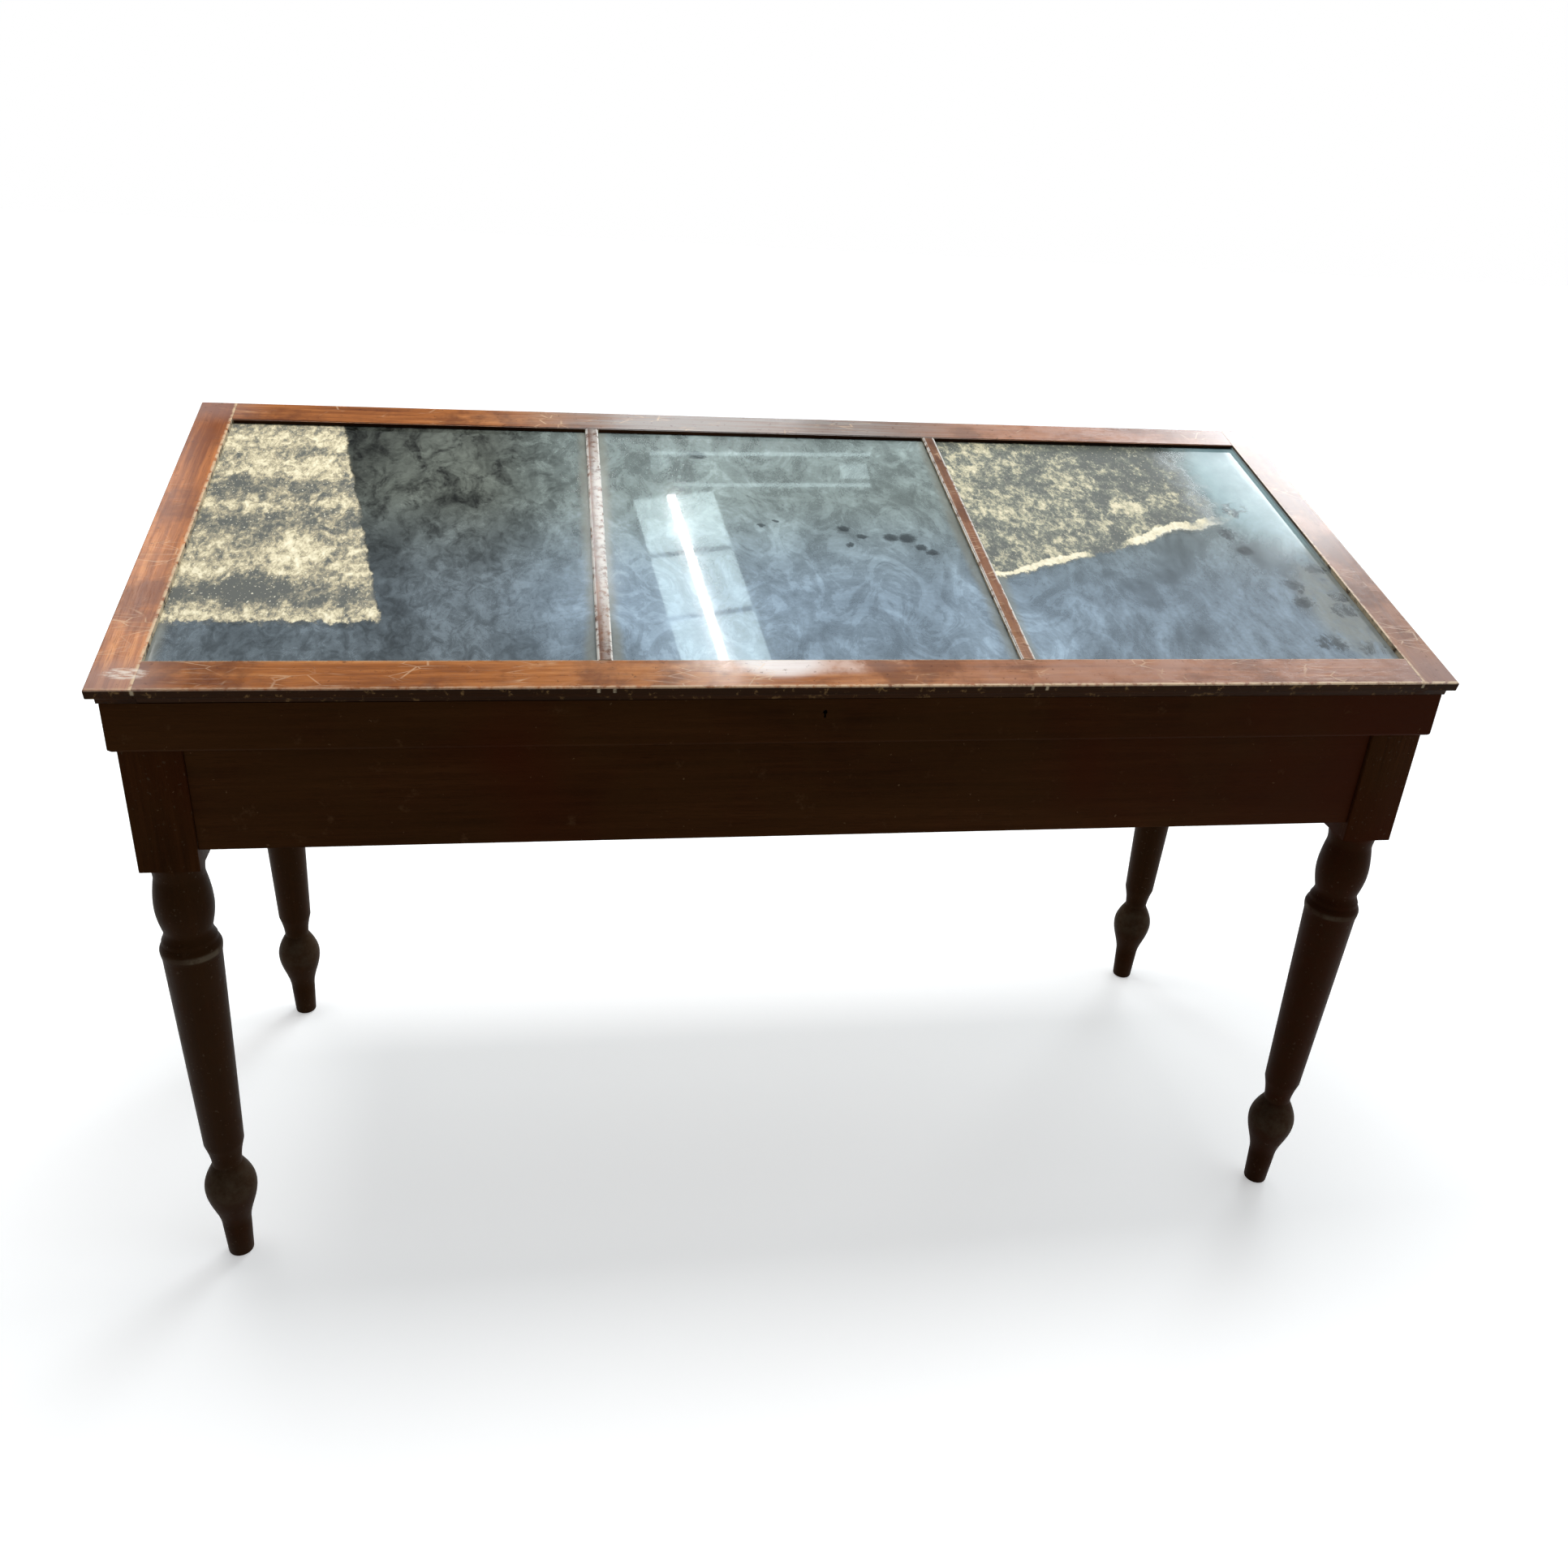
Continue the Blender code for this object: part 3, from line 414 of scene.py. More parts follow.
def grain(place, direction, tones, seed):
    """Colour, pores and streaks of wood whose grain runs in a direction."""
    shift = (3.1 * seed, 1.7 * seed, 2.3 * seed)
    laid = mapped(place, turn=GRAIN_TURNS[direction])
    figure = cloud(mapped(laid, (1.7, 16.0, 16.0), shift=shift), 1.0, 4.0, 0.55, 0.5)
    streak = cloud(mapped(laid, (5.0, 130.0, 130.0), shift=shift), 1.0, 5.0, 0.65, 0.15)
    pores = cloud(mapped(laid, (45.0, 1100.0, 1100.0), shift=shift), 1.0, 2.0, 0.5)
    dark, middle, light = tones
    colour = ramp(figure * 0.55 + streak * 0.45, (0.37, dark), (0.50, middle), (0.64, light))
    pore = step(pores, 0.55, 0.66)
    return mix(pore * 0.55, colour, dark), pore, streak


LID_TONES = ((0.135, 0.037, 0.009), (0.310, 0.103, 0.025), (0.49, 0.205, 0.066))
CASE_TONES = ((0.0115, 0.0034, 0.0011), (0.0290, 0.0086, 0.0025), (0.052, 0.0175, 0.0054))
print("lid wood in the middle of its range:", LID_TONES[1], "case wood:", CASE_TONES[1])

# %% [markdown]
# ### The case's wood
# The frieze, the aprons and the legs are dark, with a dull old wax that throws back only a little warm
# light. The wax has gone mottled and hides much of the grain. The red of the wood breaks through in places,
# most of all to the right, and knocks have left small pale dents.

# %% The case's wood
WAX, RED_WOOD = (0.0330, 0.0128, 0.0034), (0.034, 0.0054, 0.0014)
SCUFFED, DENTED = (0.082, 0.040, 0.018), (0.16, 0.095, 0.050)
WARM_SHEEN = (1.0, 0.50, 0.20, 1.0)


def case_wood(name, direction, seed):
    material, shader, place = fresh(name)
    colour, pore, streak = grain(place, direction, CASE_TONES, seed)
    mottle = cloud(mapped(place, shift=(0.0, 0.0, seed)), 11.0, 6.0, 0.68)
    patches = cloud(mapped(place, shift=(seed, 0.0, 0.0)), 2.6, 3.0, 0.5)
    patches = patches + step(place.parts()[0], 0.1, 0.6, -0.02, 0.15)
    scuffs = cloud(place, 34.0, 6.0, 0.72)
    dents = cloud(mapped(place, shift=(0.0, seed, 0.0)), 150.0, 3.0, 0.6)
    colour = layered(
        colour, (step(mottle, 0.36, 0.60, 0.20, 0.62), WAX), (step(patches, 0.50, 0.70, 0.0, 0.8), RED_WOOD),
        (step(scuffs, 0.60, 0.76, 0.0, 0.55), SCUFFED), (step(dents, 0.70, 0.76, 0.0, 0.5), DENTED),
    )
    shine = step(streak, 0.3, 0.7, 0.42, 0.52) + step(scuffs, 0.5, 0.8, 0.0, 0.18)
    feed(shader, Base_Color=colour, Roughness=shine)
    feed(shader, Specular_IOR_Level=0.045, Specular_Tint=WARM_SHEEN)
    bump(shader, streak - pore, 0.16, 0.0004)
    return material


CASE_WOOD = {way: case_wood(f"case_mahogany_{way}", way, seed) for seed, way in enumerate("xy", start=1)}
print("case finishes:", [material.name for material in CASE_WOOD.values()])

# %% [markdown]
# ### The lid's wood
# Hands and cloths have worn the lid. Its top is bright and orange to the left, and bloomed and pinker to
# the right, with darker smudges. On the left stile the brightness is a painted sheen. Where the polish has
# gone the arrises are pale: along the front edge and round the panes, and the pale line on the right
# stile's inner arris is a painted highlight. The corners are duller and a little purple, fine scratches
# cross the rails, and a pale scuff marks the front left corner. In the middle of the front and back rails,
# and on the left bar, the polish has bloomed to a grey haze, with the lamps' glare painted on it, and a
# near-white painted flare lies on the front rail. Each of these is a mask made from u and v.
# The shellac that is left lies on the wood as a clear film, so the shader's coat stands for it.

# %% The lid's wood
STILE, FRONT_RAIL, BACK_RAIL = 0.046, 0.050, 0.048
HALF_SIGHT = LID_WIDTH / 2 - STILE
SIGHT_FRONT, SIGHT_BACK = FRONT_RAIL, LID_LENGTH - BACK_RAIL
BAR_MIDDLE, BAR_WIDTH = 0.2415, 0.017
SCUFF_PLACE = (-0.7265, 0.0275)
# BAR_WEAR_AND_SHEEN colours both the bars' worn edges and the painted sheen on the left bar.
BARE_WOOD, BAR_WEAR_AND_SHEEN = (0.60, 0.44, 0.27), (0.60, 0.59, 0.55)
SMUDGE, BLOOM = (0.110, 0.031, 0.010), (0.42, 0.245, 0.185)
# Painted glare of the lamps on the rails, laid on a real grey bloom, and a near-white painted flare.
FRONT_HAZE_AND_GLARE, PAINTED_FLARE, BACK_HAZE_AND_GLARE = (0.60, 0.44, 0.37), (0.80, 0.76, 0.74), (0.245, 0.212, 0.195)
PURPLE, SCRATCH = (0.250, 0.155, 0.135), (0.70, 0.50, 0.31)
DING, SCUFF = (0.075, 0.022, 0.008), (0.70, 0.62, 0.53)


def spot(u, v, centre, radii):
    """1 inside an ellipse on the slope, falling smoothly to 0 at its edge."""
    du = (u - centre[0]) / radii[0]
    dv = (v - centre[1]) / radii[1]
    return fade((du * du + dv * dv).sum("SQRT"), 0.5, 1.0)


def scratches(place, angle, stretch):
    """Fine lines, from the borders of stretched cells."""
    turned = mapped(place, (stretch, 60.0, 60.0), (0.0, 0.0, angle))
    inputs = {"Vector": turned, "Scale": 0.9}
    cells = field(place.tree, "ShaderNodeTexVoronoi", inputs, "Distance", feature="DISTANCE_TO_EDGE")
    return fade(cells, 0.0, 0.022)


def lid_wood(name, direction, seed, pale_places, left_brightness=1.0, right_brightness=1.0, pale_colour=BARE_WOOD):
    """Polished lid mahogany. pale_places gives its worn places and painted highlights from u and v, and
    pale_colour their colour.
    """
    material, shader, place = fresh(name)
    slope = along_slope(place)
    u, v, _ = slope.parts()
    colour, pore, streak = grain(slope, direction, LID_TONES, seed)
    broad = cloud(mapped(slope, shift=(seed, seed, 0.0)), 9.0, 5.0, 0.62)
    bloom = step(u, -0.25, 0.45, 0.0, 0.64) * step(broad, 0.38, 0.58, 1.0, 0.35)
    colour = layered(colour, (step(broad, 0.47, 0.62, 0.0, 0.72), SMUDGE), (bloom, BLOOM))
    # The brightness changes from left to right; on the stiles the lighter left is a painted sheen.
    colour = shaded(colour, step(u, -0.3, 0.3, left_brightness, right_brightness))
    colour = shaded(colour, near(u, 0.0, 0.42) * step(v, 0.35, 0.50, 0.0, -0.45) + 1.0)
    # Painted glare: a haze and a near-white flare on the front rail, and a greyed sheen on the back rail,
    # partly a real bloom.
    hazed_and_glare = spot(u, v, (-0.03, 0.040), (0.16, 0.024)) * step(broad, 0.40, 0.56, 0.85, 0.15)
    painted_flare = spot(u, v, (-0.048, 0.050), (0.060, 0.040)) * step(streak, 0.3, 0.6, 0.6, 1.0)
    back_rail = step(v, SIGHT_BACK - 0.004, SIGHT_BACK)
    greyed = near(u, -0.02, 0.42) * back_rail * step(streak, 0.35, 0.65, 0.55, 1.3)
    corner = step(abs(u), 0.66, 0.74) * step(abs(v - LID_LENGTH / 2), 0.25, 0.30)
    fine = cloud(slope, 95.0, 5.0, 0.65)
    rubbed = step(cloud(slope, 14.0, 3.0, 0.6), 0.50, 0.64)
    lines = scratches(slope, 0.7, 13.0).either(scratches(slope, -0.5, 17.0)) * rubbed
    dings = step(cloud(mapped(slope, shift=(0.0, seed, 0.0)), 120.0, 4.0, 0.66), 0.60, 0.70)
    pale = pale_places(u, v) * step(fine + rubbed * 0.10, 0.36, 0.56)
    smear = cloud(mapped(slope, (90.0, 420.0, 1.0)), 1.0, 4.0, 0.6)
    scuff = spot(u + (fine - 0.5) * 0.03, v, SCUFF_PLACE, (0.026, 0.012)) * step(smear, 0.36, 0.62)
    colour = layered(
        colour, (hazed_and_glare, FRONT_HAZE_AND_GLARE), (painted_flare * 0.80, PAINTED_FLARE), (greyed, BACK_HAZE_AND_GLARE), (corner * 0.60, PURPLE),
        (lines * 0.40, SCRATCH), (dings * 0.6, DING), (pale * 0.85, pale_colour), (scuff * 0.80, SCUFF),
    )
    shine = step(fine, 0.3, 0.7, 0.12, 0.21) + pale * 0.25 + scuff * 0.4 + lines * 0.08
    feed(shader, Base_Color=colour, Roughness=shine, Specular_IOR_Level=0.24)
    feed(shader, Coat_Weight=0.40, Coat_Roughness=0.13)
    bump(shader, streak * 0.5 - pore - lines, 0.10, 0.0004)
    return material


def front_arris(u, v):
    """The lid's front edge, barer to the right."""
    return near(v, 0.0012, 0.0040) * step(u, -0.6, 0.5, 0.3, 1.0)


def worn_rail(u, v):
    return front_arris(u, v).either(near(v, SIGHT_FRONT, 0.0026) * 0.7)


def stile_wear_and_highlight(u, v):
    # The pale line on the right stile's inner arris, strongest towards the front, is a painted highlight.
    right_lip = near(u, HALF_SIGHT, 0.0042) * step(v, 0.28, 0.40, 1.0, 0.3)
    return front_arris(u, v).either(near(u, -HALF_SIGHT, 0.0045)).either(right_lip)


def bar_wear_and_sheen(u, v):
    edges = near(abs(abs(u) - BAR_MIDDLE), BAR_WIDTH / 2, 0.0040)
    # The pale middle of the left bar is a painted sheen of the lamps, partly a real bloom of the polish.
    left_bar_sheen = step(u, -0.248, -0.238) * fade(u, 0.0, 0.1)
    return edges.either(left_bar_sheen * (near(v, 0.33, 0.30) * 0.65 + 0.30))


RAIL_WOOD = lid_wood("lid_mahogany_rails", "x", 4, worn_rail)
# The stiles are lighter to the left, a painted sheen, and darker to the right.
STILE_WOOD = lid_wood("lid_mahogany_stiles", "y", 5, stile_wear_and_highlight, 1.40, 0.80)
BAR_WOOD = lid_wood("lid_mahogany_bars", "y", 6, bar_wear_and_sheen, 0.55, 0.62, BAR_WEAR_AND_SHEEN)
print("lid finishes:", [material.name for material in (RAIL_WOOD, STILE_WOOD, BAR_WOOD)])

# %% [markdown]
# The lid's edges and its underside get a nearly black copy of its wood: painted shade, for faces that catch
# far less light than the top. Flecks of bare wood show along the front edge. A pale line on the lips round
# the panes, and on the right stile's lip only towards the front, is old putty and partly painted light. At
# the back of the right stile, dust is packed into the angle between the wood and the glass.

# %% The lid's edges
# Painted shade: a far darker copy of the lid's wood, for the faces that don't look up and for the beads.
SHADED_EDGE_TONES = ((0.0085, 0.0029, 0.0010), (0.020, 0.0068, 0.0022), (0.040, 0.0145, 0.0048))
FLECK, PUTTY_AND_LIGHT, PACKED_DUST = (0.24, 0.14, 0.055), (0.50, 0.41, 0.28), (0.40, 0.48, 0.50)
EDGE_SHEEN = (1.0, 0.60, 0.34, 1.0)
LIP_REACH = 0.0025


def shaded_edge_wood(name, direction, seed):
    material, shader, place = fresh(name)
    slope = along_slope(place)
    u, v, w = slope.parts()
    colour, pore, streak = grain(slope, direction, SHADED_EDGE_TONES, seed)
    fine = cloud(slope, 95.0, 5.0, 0.65)
    flecks = step(fine, 0.57, 0.68) * fade(v, 0.004, 0.010)
    right_lip = near(u, HALF_SIGHT, LIP_REACH)
    lips = near(abs(abs(u) - BAR_MIDDLE), BAR_WIDTH / 2, LIP_REACH).either(near(u, -HALF_SIGHT, LIP_REACH))
    lips = lips.either(right_lip * step(v, 0.24, 0.36, 1.0, 0.15))
    # Partly old putty, partly painted light on the lips that face the light from the right.
    putty_and_light = lips * step(w, -0.0075, -0.0062) * step(fine, 0.34, 0.54)
    packed = right_lip * fade(w, -0.0040, -0.0028) * step(v, 0.22, 0.30)
    colour = layered(colour, (flecks * 0.6, FLECK), (putty_and_light * 0.8, PUTTY_AND_LIGHT), (packed * 0.8, PACKED_DUST))
    feed(shader, Base_Color=colour, Roughness=step(streak, 0.3, 0.7, 0.45, 0.62))
    feed(shader, Specular_IOR_Level=0.08, Specular_Tint=EDGE_SHEEN)
    bump(shader, streak - pore, 0.16, 0.0004)
    return material


SHADED_EDGE_WOOD = {way: shaded_edge_wood(f"lid_shaded_edge_{way}", way, seed) for seed, way in enumerate("xy", start=8)}
print("edge finishes:", [material.name for material in SHADED_EDGE_WOOD.values()])

# %% [markdown]
# ### Pine inside
# What nobody sees is bare pine: the bed, its bearers and the glue blocks. Pine has wide, soft bands
# between early and late wood, and it has gone brown with age.

# %% Pine inside
EARLY, MIDDLE, LATE = (0.17, 0.088, 0.036), (0.31, 0.185, 0.085), (0.42, 0.275, 0.140)
DIRT = (0.11, 0.075, 0.045)


def pine(name, direction, seed):
    material, shader, place = fresh(name)
    laid = mapped(place, turn=GRAIN_TURNS[direction])
    bands = cloud(mapped(laid, (0.9, 34.0, 34.0), shift=(seed, 2.0 * seed, 0.0)), 1.0, 3.0, 0.5, 0.4)
    fibre = cloud(mapped(laid, (12.0, 420.0, 420.0)), 1.0, 3.0, 0.6)
    colour = ramp(bands, (0.35, EARLY), (0.52, MIDDLE), (0.66, LATE))
    dirt = cloud(place, 9.0, 5.0, 0.65)
    colour = mix(step(dirt, 0.45, 0.75, 0.0, 0.5), colour, DIRT)
    feed(shader, Base_Color=colour, Roughness=step(fibre, 0.2, 0.8, 0.62, 0.85))
    bump(shader, fibre, 0.2, 0.0003)
    return material


PINE_X = pine("carcase_pine_x", "x", 2)
PINE_Y = pine("carcase_pine_y", "y", 3)
print("pine:", PINE_X.name, PINE_Y.name)

# %% [markdown]
# ## Old glass
# The panes are old sheet glass under years of dust. The dust has been wiped in arcs, so it shows as a
# blue-grey veil with swirls in it, darker over the left pane, and greener and blotched towards the back.
# The arcs run up the slope, so the noise is drawn out that way. Fingers have left dark marks, and dust
# lies thickest along the bars and stiles.
# All of it is one Principled shader: the veil's colour and its Alpha come from nodes, so the dust is half
# clear, and the polish of the glass stays on top. A faint, duller coat gives each mirrored lamp its haze,
# apart from where film covers the glass.

# %% The veil of dust
LEFT_FRONT, LEFT_BACK = (0.143, 0.174, 0.195), (0.118, 0.131, 0.111)
VEIL_FRONT, VEIL_BACK = (0.312, 0.408, 0.496), (0.295, 0.362, 0.350)
glass, shader, place = fresh("dusty_pane_glass")
slope = along_slope(place)
u, v, _ = slope.parts()
drawn = mapped(slope, (1.0, 0.6, 1.0))
drift = cloud(drawn, 6.0, 6.0, 0.66, 1.2)
swirl = cloud(mapped(drawn, shift=(4.0, 1.0, 0.0)), 17.0, 4.0, 0.60, 2.8)
blotch = cloud(mapped(drawn, shift=(1.0, 8.0, 0.0)), 26.0, 6.0, 0.72, 0.8)
speck = cloud(slope, 150.0, 4.0, 0.65)
far = step(v, 0.16, 0.44)
left = fade(u, -0.40, -0.20)
veil = ramp(far, (0.0, VEIL_FRONT), (1.0, VEIL_BACK))
veil = mix(left, veil, ramp(far, (0.0, LEFT_FRONT), (1.0, LEFT_BACK)))
arcs = near(swirl, 0.50, 0.028)
swirled = (step(swirl, 0.36, 0.64, -0.22, 0.16) - arcs * 0.10) * (left * -0.55 + 1.0)
swirled = swirled * step(u, 0.25, 0.45, 1.0, 0.60) + 1.0
wisps = cloud(mapped(drawn, shift=(9.0, 3.0, 0.0)), 64.0, 5.0, 0.72, 0.9)
blotched = far * (left * 0.65 + 0.35) * step(blotch, 0.41, 0.56, -0.58, 0.14) + 1.0
blotched = blotched + left * step(wisps, 0.36, 0.62, -0.34, 0.26)
wiped = step(drift, 0.34, 0.66, 0.74, 1.20) * step(speck, 0.3, 0.7, 0.92, 1.08)
streaks = cloud(mapped(slope, (1.0, 0.3, 1.0), (0.0, 0.0, 0.8)), 34.0, 5.0, 0.66)
wiped = wiped * (step(u, 0.25, 0.35) * step(streaks, 0.36, 0.64, -0.20, 0.18) + 1.0)
veil = shaded(veil, wiped * swirled * blotched * step(u, 0.25, 0.5, 1.0, 0.68))
print("veil:", VEIL_FRONT, "to", VEIL_BACK)

# %% [markdown]
# Finger marks are small dark ellipses where a hand has leant on the glass. Their places are given on the
# slope, and noise frays their edges.

# %% Finger marks and dust along the bars
FINGER_MARKS = [
    (-0.032, 0.348, 0.006), (-0.012, 0.360, 0.005), (0.075, 0.343, 0.011), (0.096, 0.326, 0.009),
    (0.077, 0.306, 0.007), (0.134, 0.323, 0.014), (0.155, 0.322, 0.016), (0.169, 0.301, 0.010),
    (0.181, 0.290, 0.011), (-0.099, 0.534, 0.016), (0.617, 0.302, 0.016),
]
BLOTS = [
    (0.647, 0.411, 0.024), (0.608, 0.349, 0.015), (0.648, 0.219, 0.018), (0.647, 0.179, 0.018),
    (0.699, 0.193, 0.015), (0.694, 0.163, 0.022), (0.698, 0.256, 0.017), (0.642, 0.092, 0.024),
    (0.692, 0.078, 0.021),
]
MARK, EDGE_DUST, CORNER_GLARE = (0.030, 0.040, 0.046), (0.245, 0.248, 0.205), (0.38, 0.60, 0.65)


def marked(places, fray):
    """1 on round marks at (u, v, radius) places, with edges frayed by noise."""
    frayed_u, frayed_v = u + (speck - 0.5) * (0.6 * fray), v + (blotch - 0.5) * fray
    total = None
    for mark_u, mark_v, radius in places:
        mark = spot(frayed_u, frayed_v, (mark_u, mark_v), (radius, 0.9 * radius))
        total = mark if total is None else total.either(mark)
    return total


marks = marked(FINGER_MARKS, 0.020).either(marked(BLOTS, 0.060) * step(blotch, 0.38, 0.54))
from_bar = abs(abs(u) - BAR_MIDDLE) - BAR_WIDTH / 2
from_side = (abs(u) * -1.0 + HALF_SIGHT).both(from_bar)
border = fade(from_side + (drift - 0.5) * 0.030, 0.003, 0.016)
corner_dust = spot(u + (drift - 0.5) * 0.10, v + (swirl - 0.5) * 0.10, (0.71, 0.165), (0.080, 0.145))
border = border.either(corner_dust * step(blotch, 0.34, 0.52, 0.3, 1.0))
pale_corner = spot(u, v + (drift - 0.5) * 0.10, (0.70, 0.47), (0.115, 0.22))
veil = layered(veil, (border * 0.66, EDGE_DUST), (pale_corner * 0.58, CORNER_GLARE), (marks * 0.85, MARK))
print("finger marks:", len(FINGER_MARKS), "blots:", len(BLOTS))

# %% [markdown]
# At the left end and at the back of the right pane a cream film still clings to the glass. On the left it
# is a sheet with a straight edge, crinkled and cracked in rows. On the right it has broken into chips, and
# it ends at a slanting tear, where its edge has rolled up into a bright lip.

# %% Film on the left pane
GAP, OLIVE, TAN = (0.070, 0.076, 0.066), (0.195, 0.182, 0.130), (0.40, 0.345, 0.22)
CREAM, PALE = (0.66, 0.585, 0.385), (0.82, 0.76, 0.57)
FILM_ROWS = [
    (0.545, 0.030, 0.050), (0.475, 0.032, 0.052), (0.425, 0.030, -0.062), (0.385, 0.012, 0.050),
    (0.340, 0.028, -0.066), (0.235, 0.022, 0.045), (0.182, 0.024, -0.080), (0.140, 0.013, 0.066),
]
LEFT_SPOTS = [
    ((-0.593, 0.273), (0.044, 0.036), (0.02, 0.03), 0.09),
    ((-0.505, 0.265), (0.050, 0.040), (0.04, 0.06), 0.045),
    ((-0.640, 0.203), (0.055, 0.030), (0.06, 0.08), -0.10),
]
SHEET_FRONT, SHEET_BACK = (-0.486, 0.127), (-0.571, 0.581)


def past(start, end):
    """Distance to the right of a line on the slope, for someone who goes from its start to its end."""
    run_u, run_v = end[0] - start[0], end[1] - start[1]
    span = math.hypot(run_u, run_v)
    return (u - start[0]) * (run_v / span) - (v - start[1]) * (run_u / span)


def with_spots(amount, spots):
    """A field with spots added to it, each given by its centre, radii, fray along u and v, and weight."""
    for centre, radii, (fray_u, fray_v), weight in spots:
        amount = amount + spot(u + fray * fray_u, v + fray * fray_v, centre, radii) * weight
    return amount


fray = cloud(drawn, 60.0, 5.0, 0.72) - 0.5
crust = cloud(mapped(drawn, shift=(5.0, 2.0, 0.0)), 150.0, 5.0, 0.74, 0.6)
lumps = cloud(mapped(drawn, shift=(3.0, 0.0, 0.0)), 46.0, 5.0, 0.66, 0.8)
glints = step(cloud(drawn, 330.0, 2.0, 0.5), 0.64, 0.70)
sheet_edge = past(SHEET_FRONT, SHEET_BACK) + fray * 0.020
left_film = fade(sheet_edge, -0.002, 0.002) * step(v - 0.130 + fray * 0.040, -0.002, 0.002)
amount = crust * 0.50 + lumps * 0.50
for row, reach, weight in FILM_ROWS:
    amount = amount + near(v + fray * 0.09, row, reach) * weight
amount = with_spots(amount, LEFT_SPOTS)
left_colour = ramp(amount, (0.400, GAP), (0.475, OLIVE), (0.530, TAN), (0.595, CREAM), (0.69, PALE))
left_colour = mix(glints * 0.7, left_colour, PALE)
# A painted shadow darkens the veil beside the film's straight edge.
veil = shaded(veil, near(sheet_edge, 0.0, 0.060) * -0.30 + 1.0)
colour = mix(left_film, veil, left_colour)
print("rows in the film on the left:", len(FILM_ROWS))

# %% Film on the right pane
CHIP_GAP, CHIP_DUST, CHIP_TAN = (0.040, 0.046, 0.034), (0.130, 0.135, 0.095), (0.40, 0.365, 0.230)
RIGHT_SPOTS = [
    ((0.486, 0.408), (0.038, 0.028), (0.04, 0.04), 0.09),
    ((0.58, 0.54), (0.14, 0.14), (0.0, 0.0), -0.02),
]
TEAR_RIGHT, TEAR_LEFT = (0.602, 0.371), (0.264, 0.226)
tear = past(TEAR_RIGHT, TEAR_LEFT) + fray * 0.030 + (drift - 0.5) * 0.06
right_film = step(tear, -0.003, 0.004) * fade(u + fray * 0.14, 0.56, 0.64) * step(u, 0.24, 0.25)
rolled = step(u, 0.44, 0.50, 0.006, 0.014)
lip = fade(abs(tear - 0.008) - rolled * 0.5, 0.0, 0.004) * (near(u, 0.42, 0.05) * -0.9 + 1.0)
flakes = cloud(mapped(slope, (1.0, 0.7, 1.0), (0.0, 0.0, 0.6)), 52.0, 6.0, 0.66, 0.25)
patchy = cloud(mapped(slope, shift=(2.0, 6.0, 0.0)), 15.0, 3.0, 0.55)
amount = crust * 0.32 + lumps * 0.16 + flakes * 0.34 + patchy * 0.18
amount = amount + step(u, 0.26, 0.52, 0.004, -0.018) + lip * 0.14
amount = with_spots(amount, RIGHT_SPOTS)
chips = (0.450, CHIP_GAP), (0.500, CHIP_DUST), (0.540, CHIP_TAN), (0.59, CREAM), (0.68, PALE)
right_colour = ramp(amount, *chips)
right_colour = mix(glints * 0.6, right_colour, CREAM)
colour = mix(right_film * 0.95, colour, right_colour)
film = left_film.either(right_film)
print("the film on the right ends at u", TEAR_RIGHT[0])

# %% The glass itself
dusty = step(drift, 0.3, 0.7, 0.60, 0.74) + border * 0.12
gloss = step(swirl, 0.3, 0.7, 0.018, 0.036) + film * 0.55
waves = cloud(drawn, 4.0, 1.0, 0.5)
feed(shader, Base_Color=colour, Alpha=dusty.either(film * 0.97), Roughness=gloss)
feed(shader, Coat_Weight=film * -0.40 + 0.45, Coat_Roughness=0.11)
bump(shader, film * lumps + waves * 0.02, 0.05, 0.0006)
print("nodes in the glass:", len(glass.node_tree.nodes))

# %% [markdown]
# ## Lining, brass and iron
# The bed is lined with slate-coloured cloth, worn and spotted. The hinges, the lock's face plate and its
# strike are brass gone brown, brighter where they rub. The lock and its bolt are dark iron.

# %% Lining, brass and iron
THREADS = 1800.0
STAIN, THREAD_GAP = (0.23, 0.205, 0.150), (0.025, 0.030, 0.036)
lining_cloth, shader, place = fresh("slate_lining")
slope = along_slope(place)
u, v, _ = slope.parts()
weave = (u * THREADS).sum("SINE") * (v * THREADS).sum("SINE")
faded = cloud(slope, 4.5, 5.0, 0.62, 0.8)
slates = (0.34, (0.040, 0.050, 0.062)), (0.52, (0.075, 0.088, 0.102)), (0.70, (0.135, 0.145, 0.150))
spots = cloud(mapped(slope, shift=(7.0, 2.0, 0.0)), 30.0, 4.0, 0.6)
stained, gaps = step(spots, 0.60, 0.75, 0.0, 0.6), step(weave, -0.6, 0.9, 0.0, 0.22)
colour = layered(ramp(faded, *slates), (stained, STAIN), (gaps, THREAD_GAP))
feed(shader, Base_Color=colour, Roughness=step(faded, 0.3, 0.7, 0.82, 0.96), Sheen_Weight=0.25)
bump(shader, weave, 0.35, 0.0002)


def old_metal(name, dull, bright, rough):
    material, shader, place = fresh(name)
    stain = cloud(place, 140.0, 6.0, 0.65)
    brushed = cloud(mapped(place, (60.0, 900.0, 900.0)), 1.0, 3.0, 0.6)
    colour = ramp(stain, (0.34, dull), (0.66, bright))
    feed(shader, Base_Color=colour, Metallic=1.0, Roughness=step(stain, 0.3, 0.7, rough + 0.15, rough))
    bump(shader, brushed, 0.08, 0.0002)
    return material


BRASS = old_metal("aged_brass", (0.150, 0.088, 0.033), (0.42, 0.29, 0.11), 0.40)
IRON = old_metal("lock_iron", (0.045, 0.038, 0.033), (0.16, 0.15, 0.14), 0.42)
print("cloth and metal:", lining_cloth.name, BRASS.name, IRON.name)

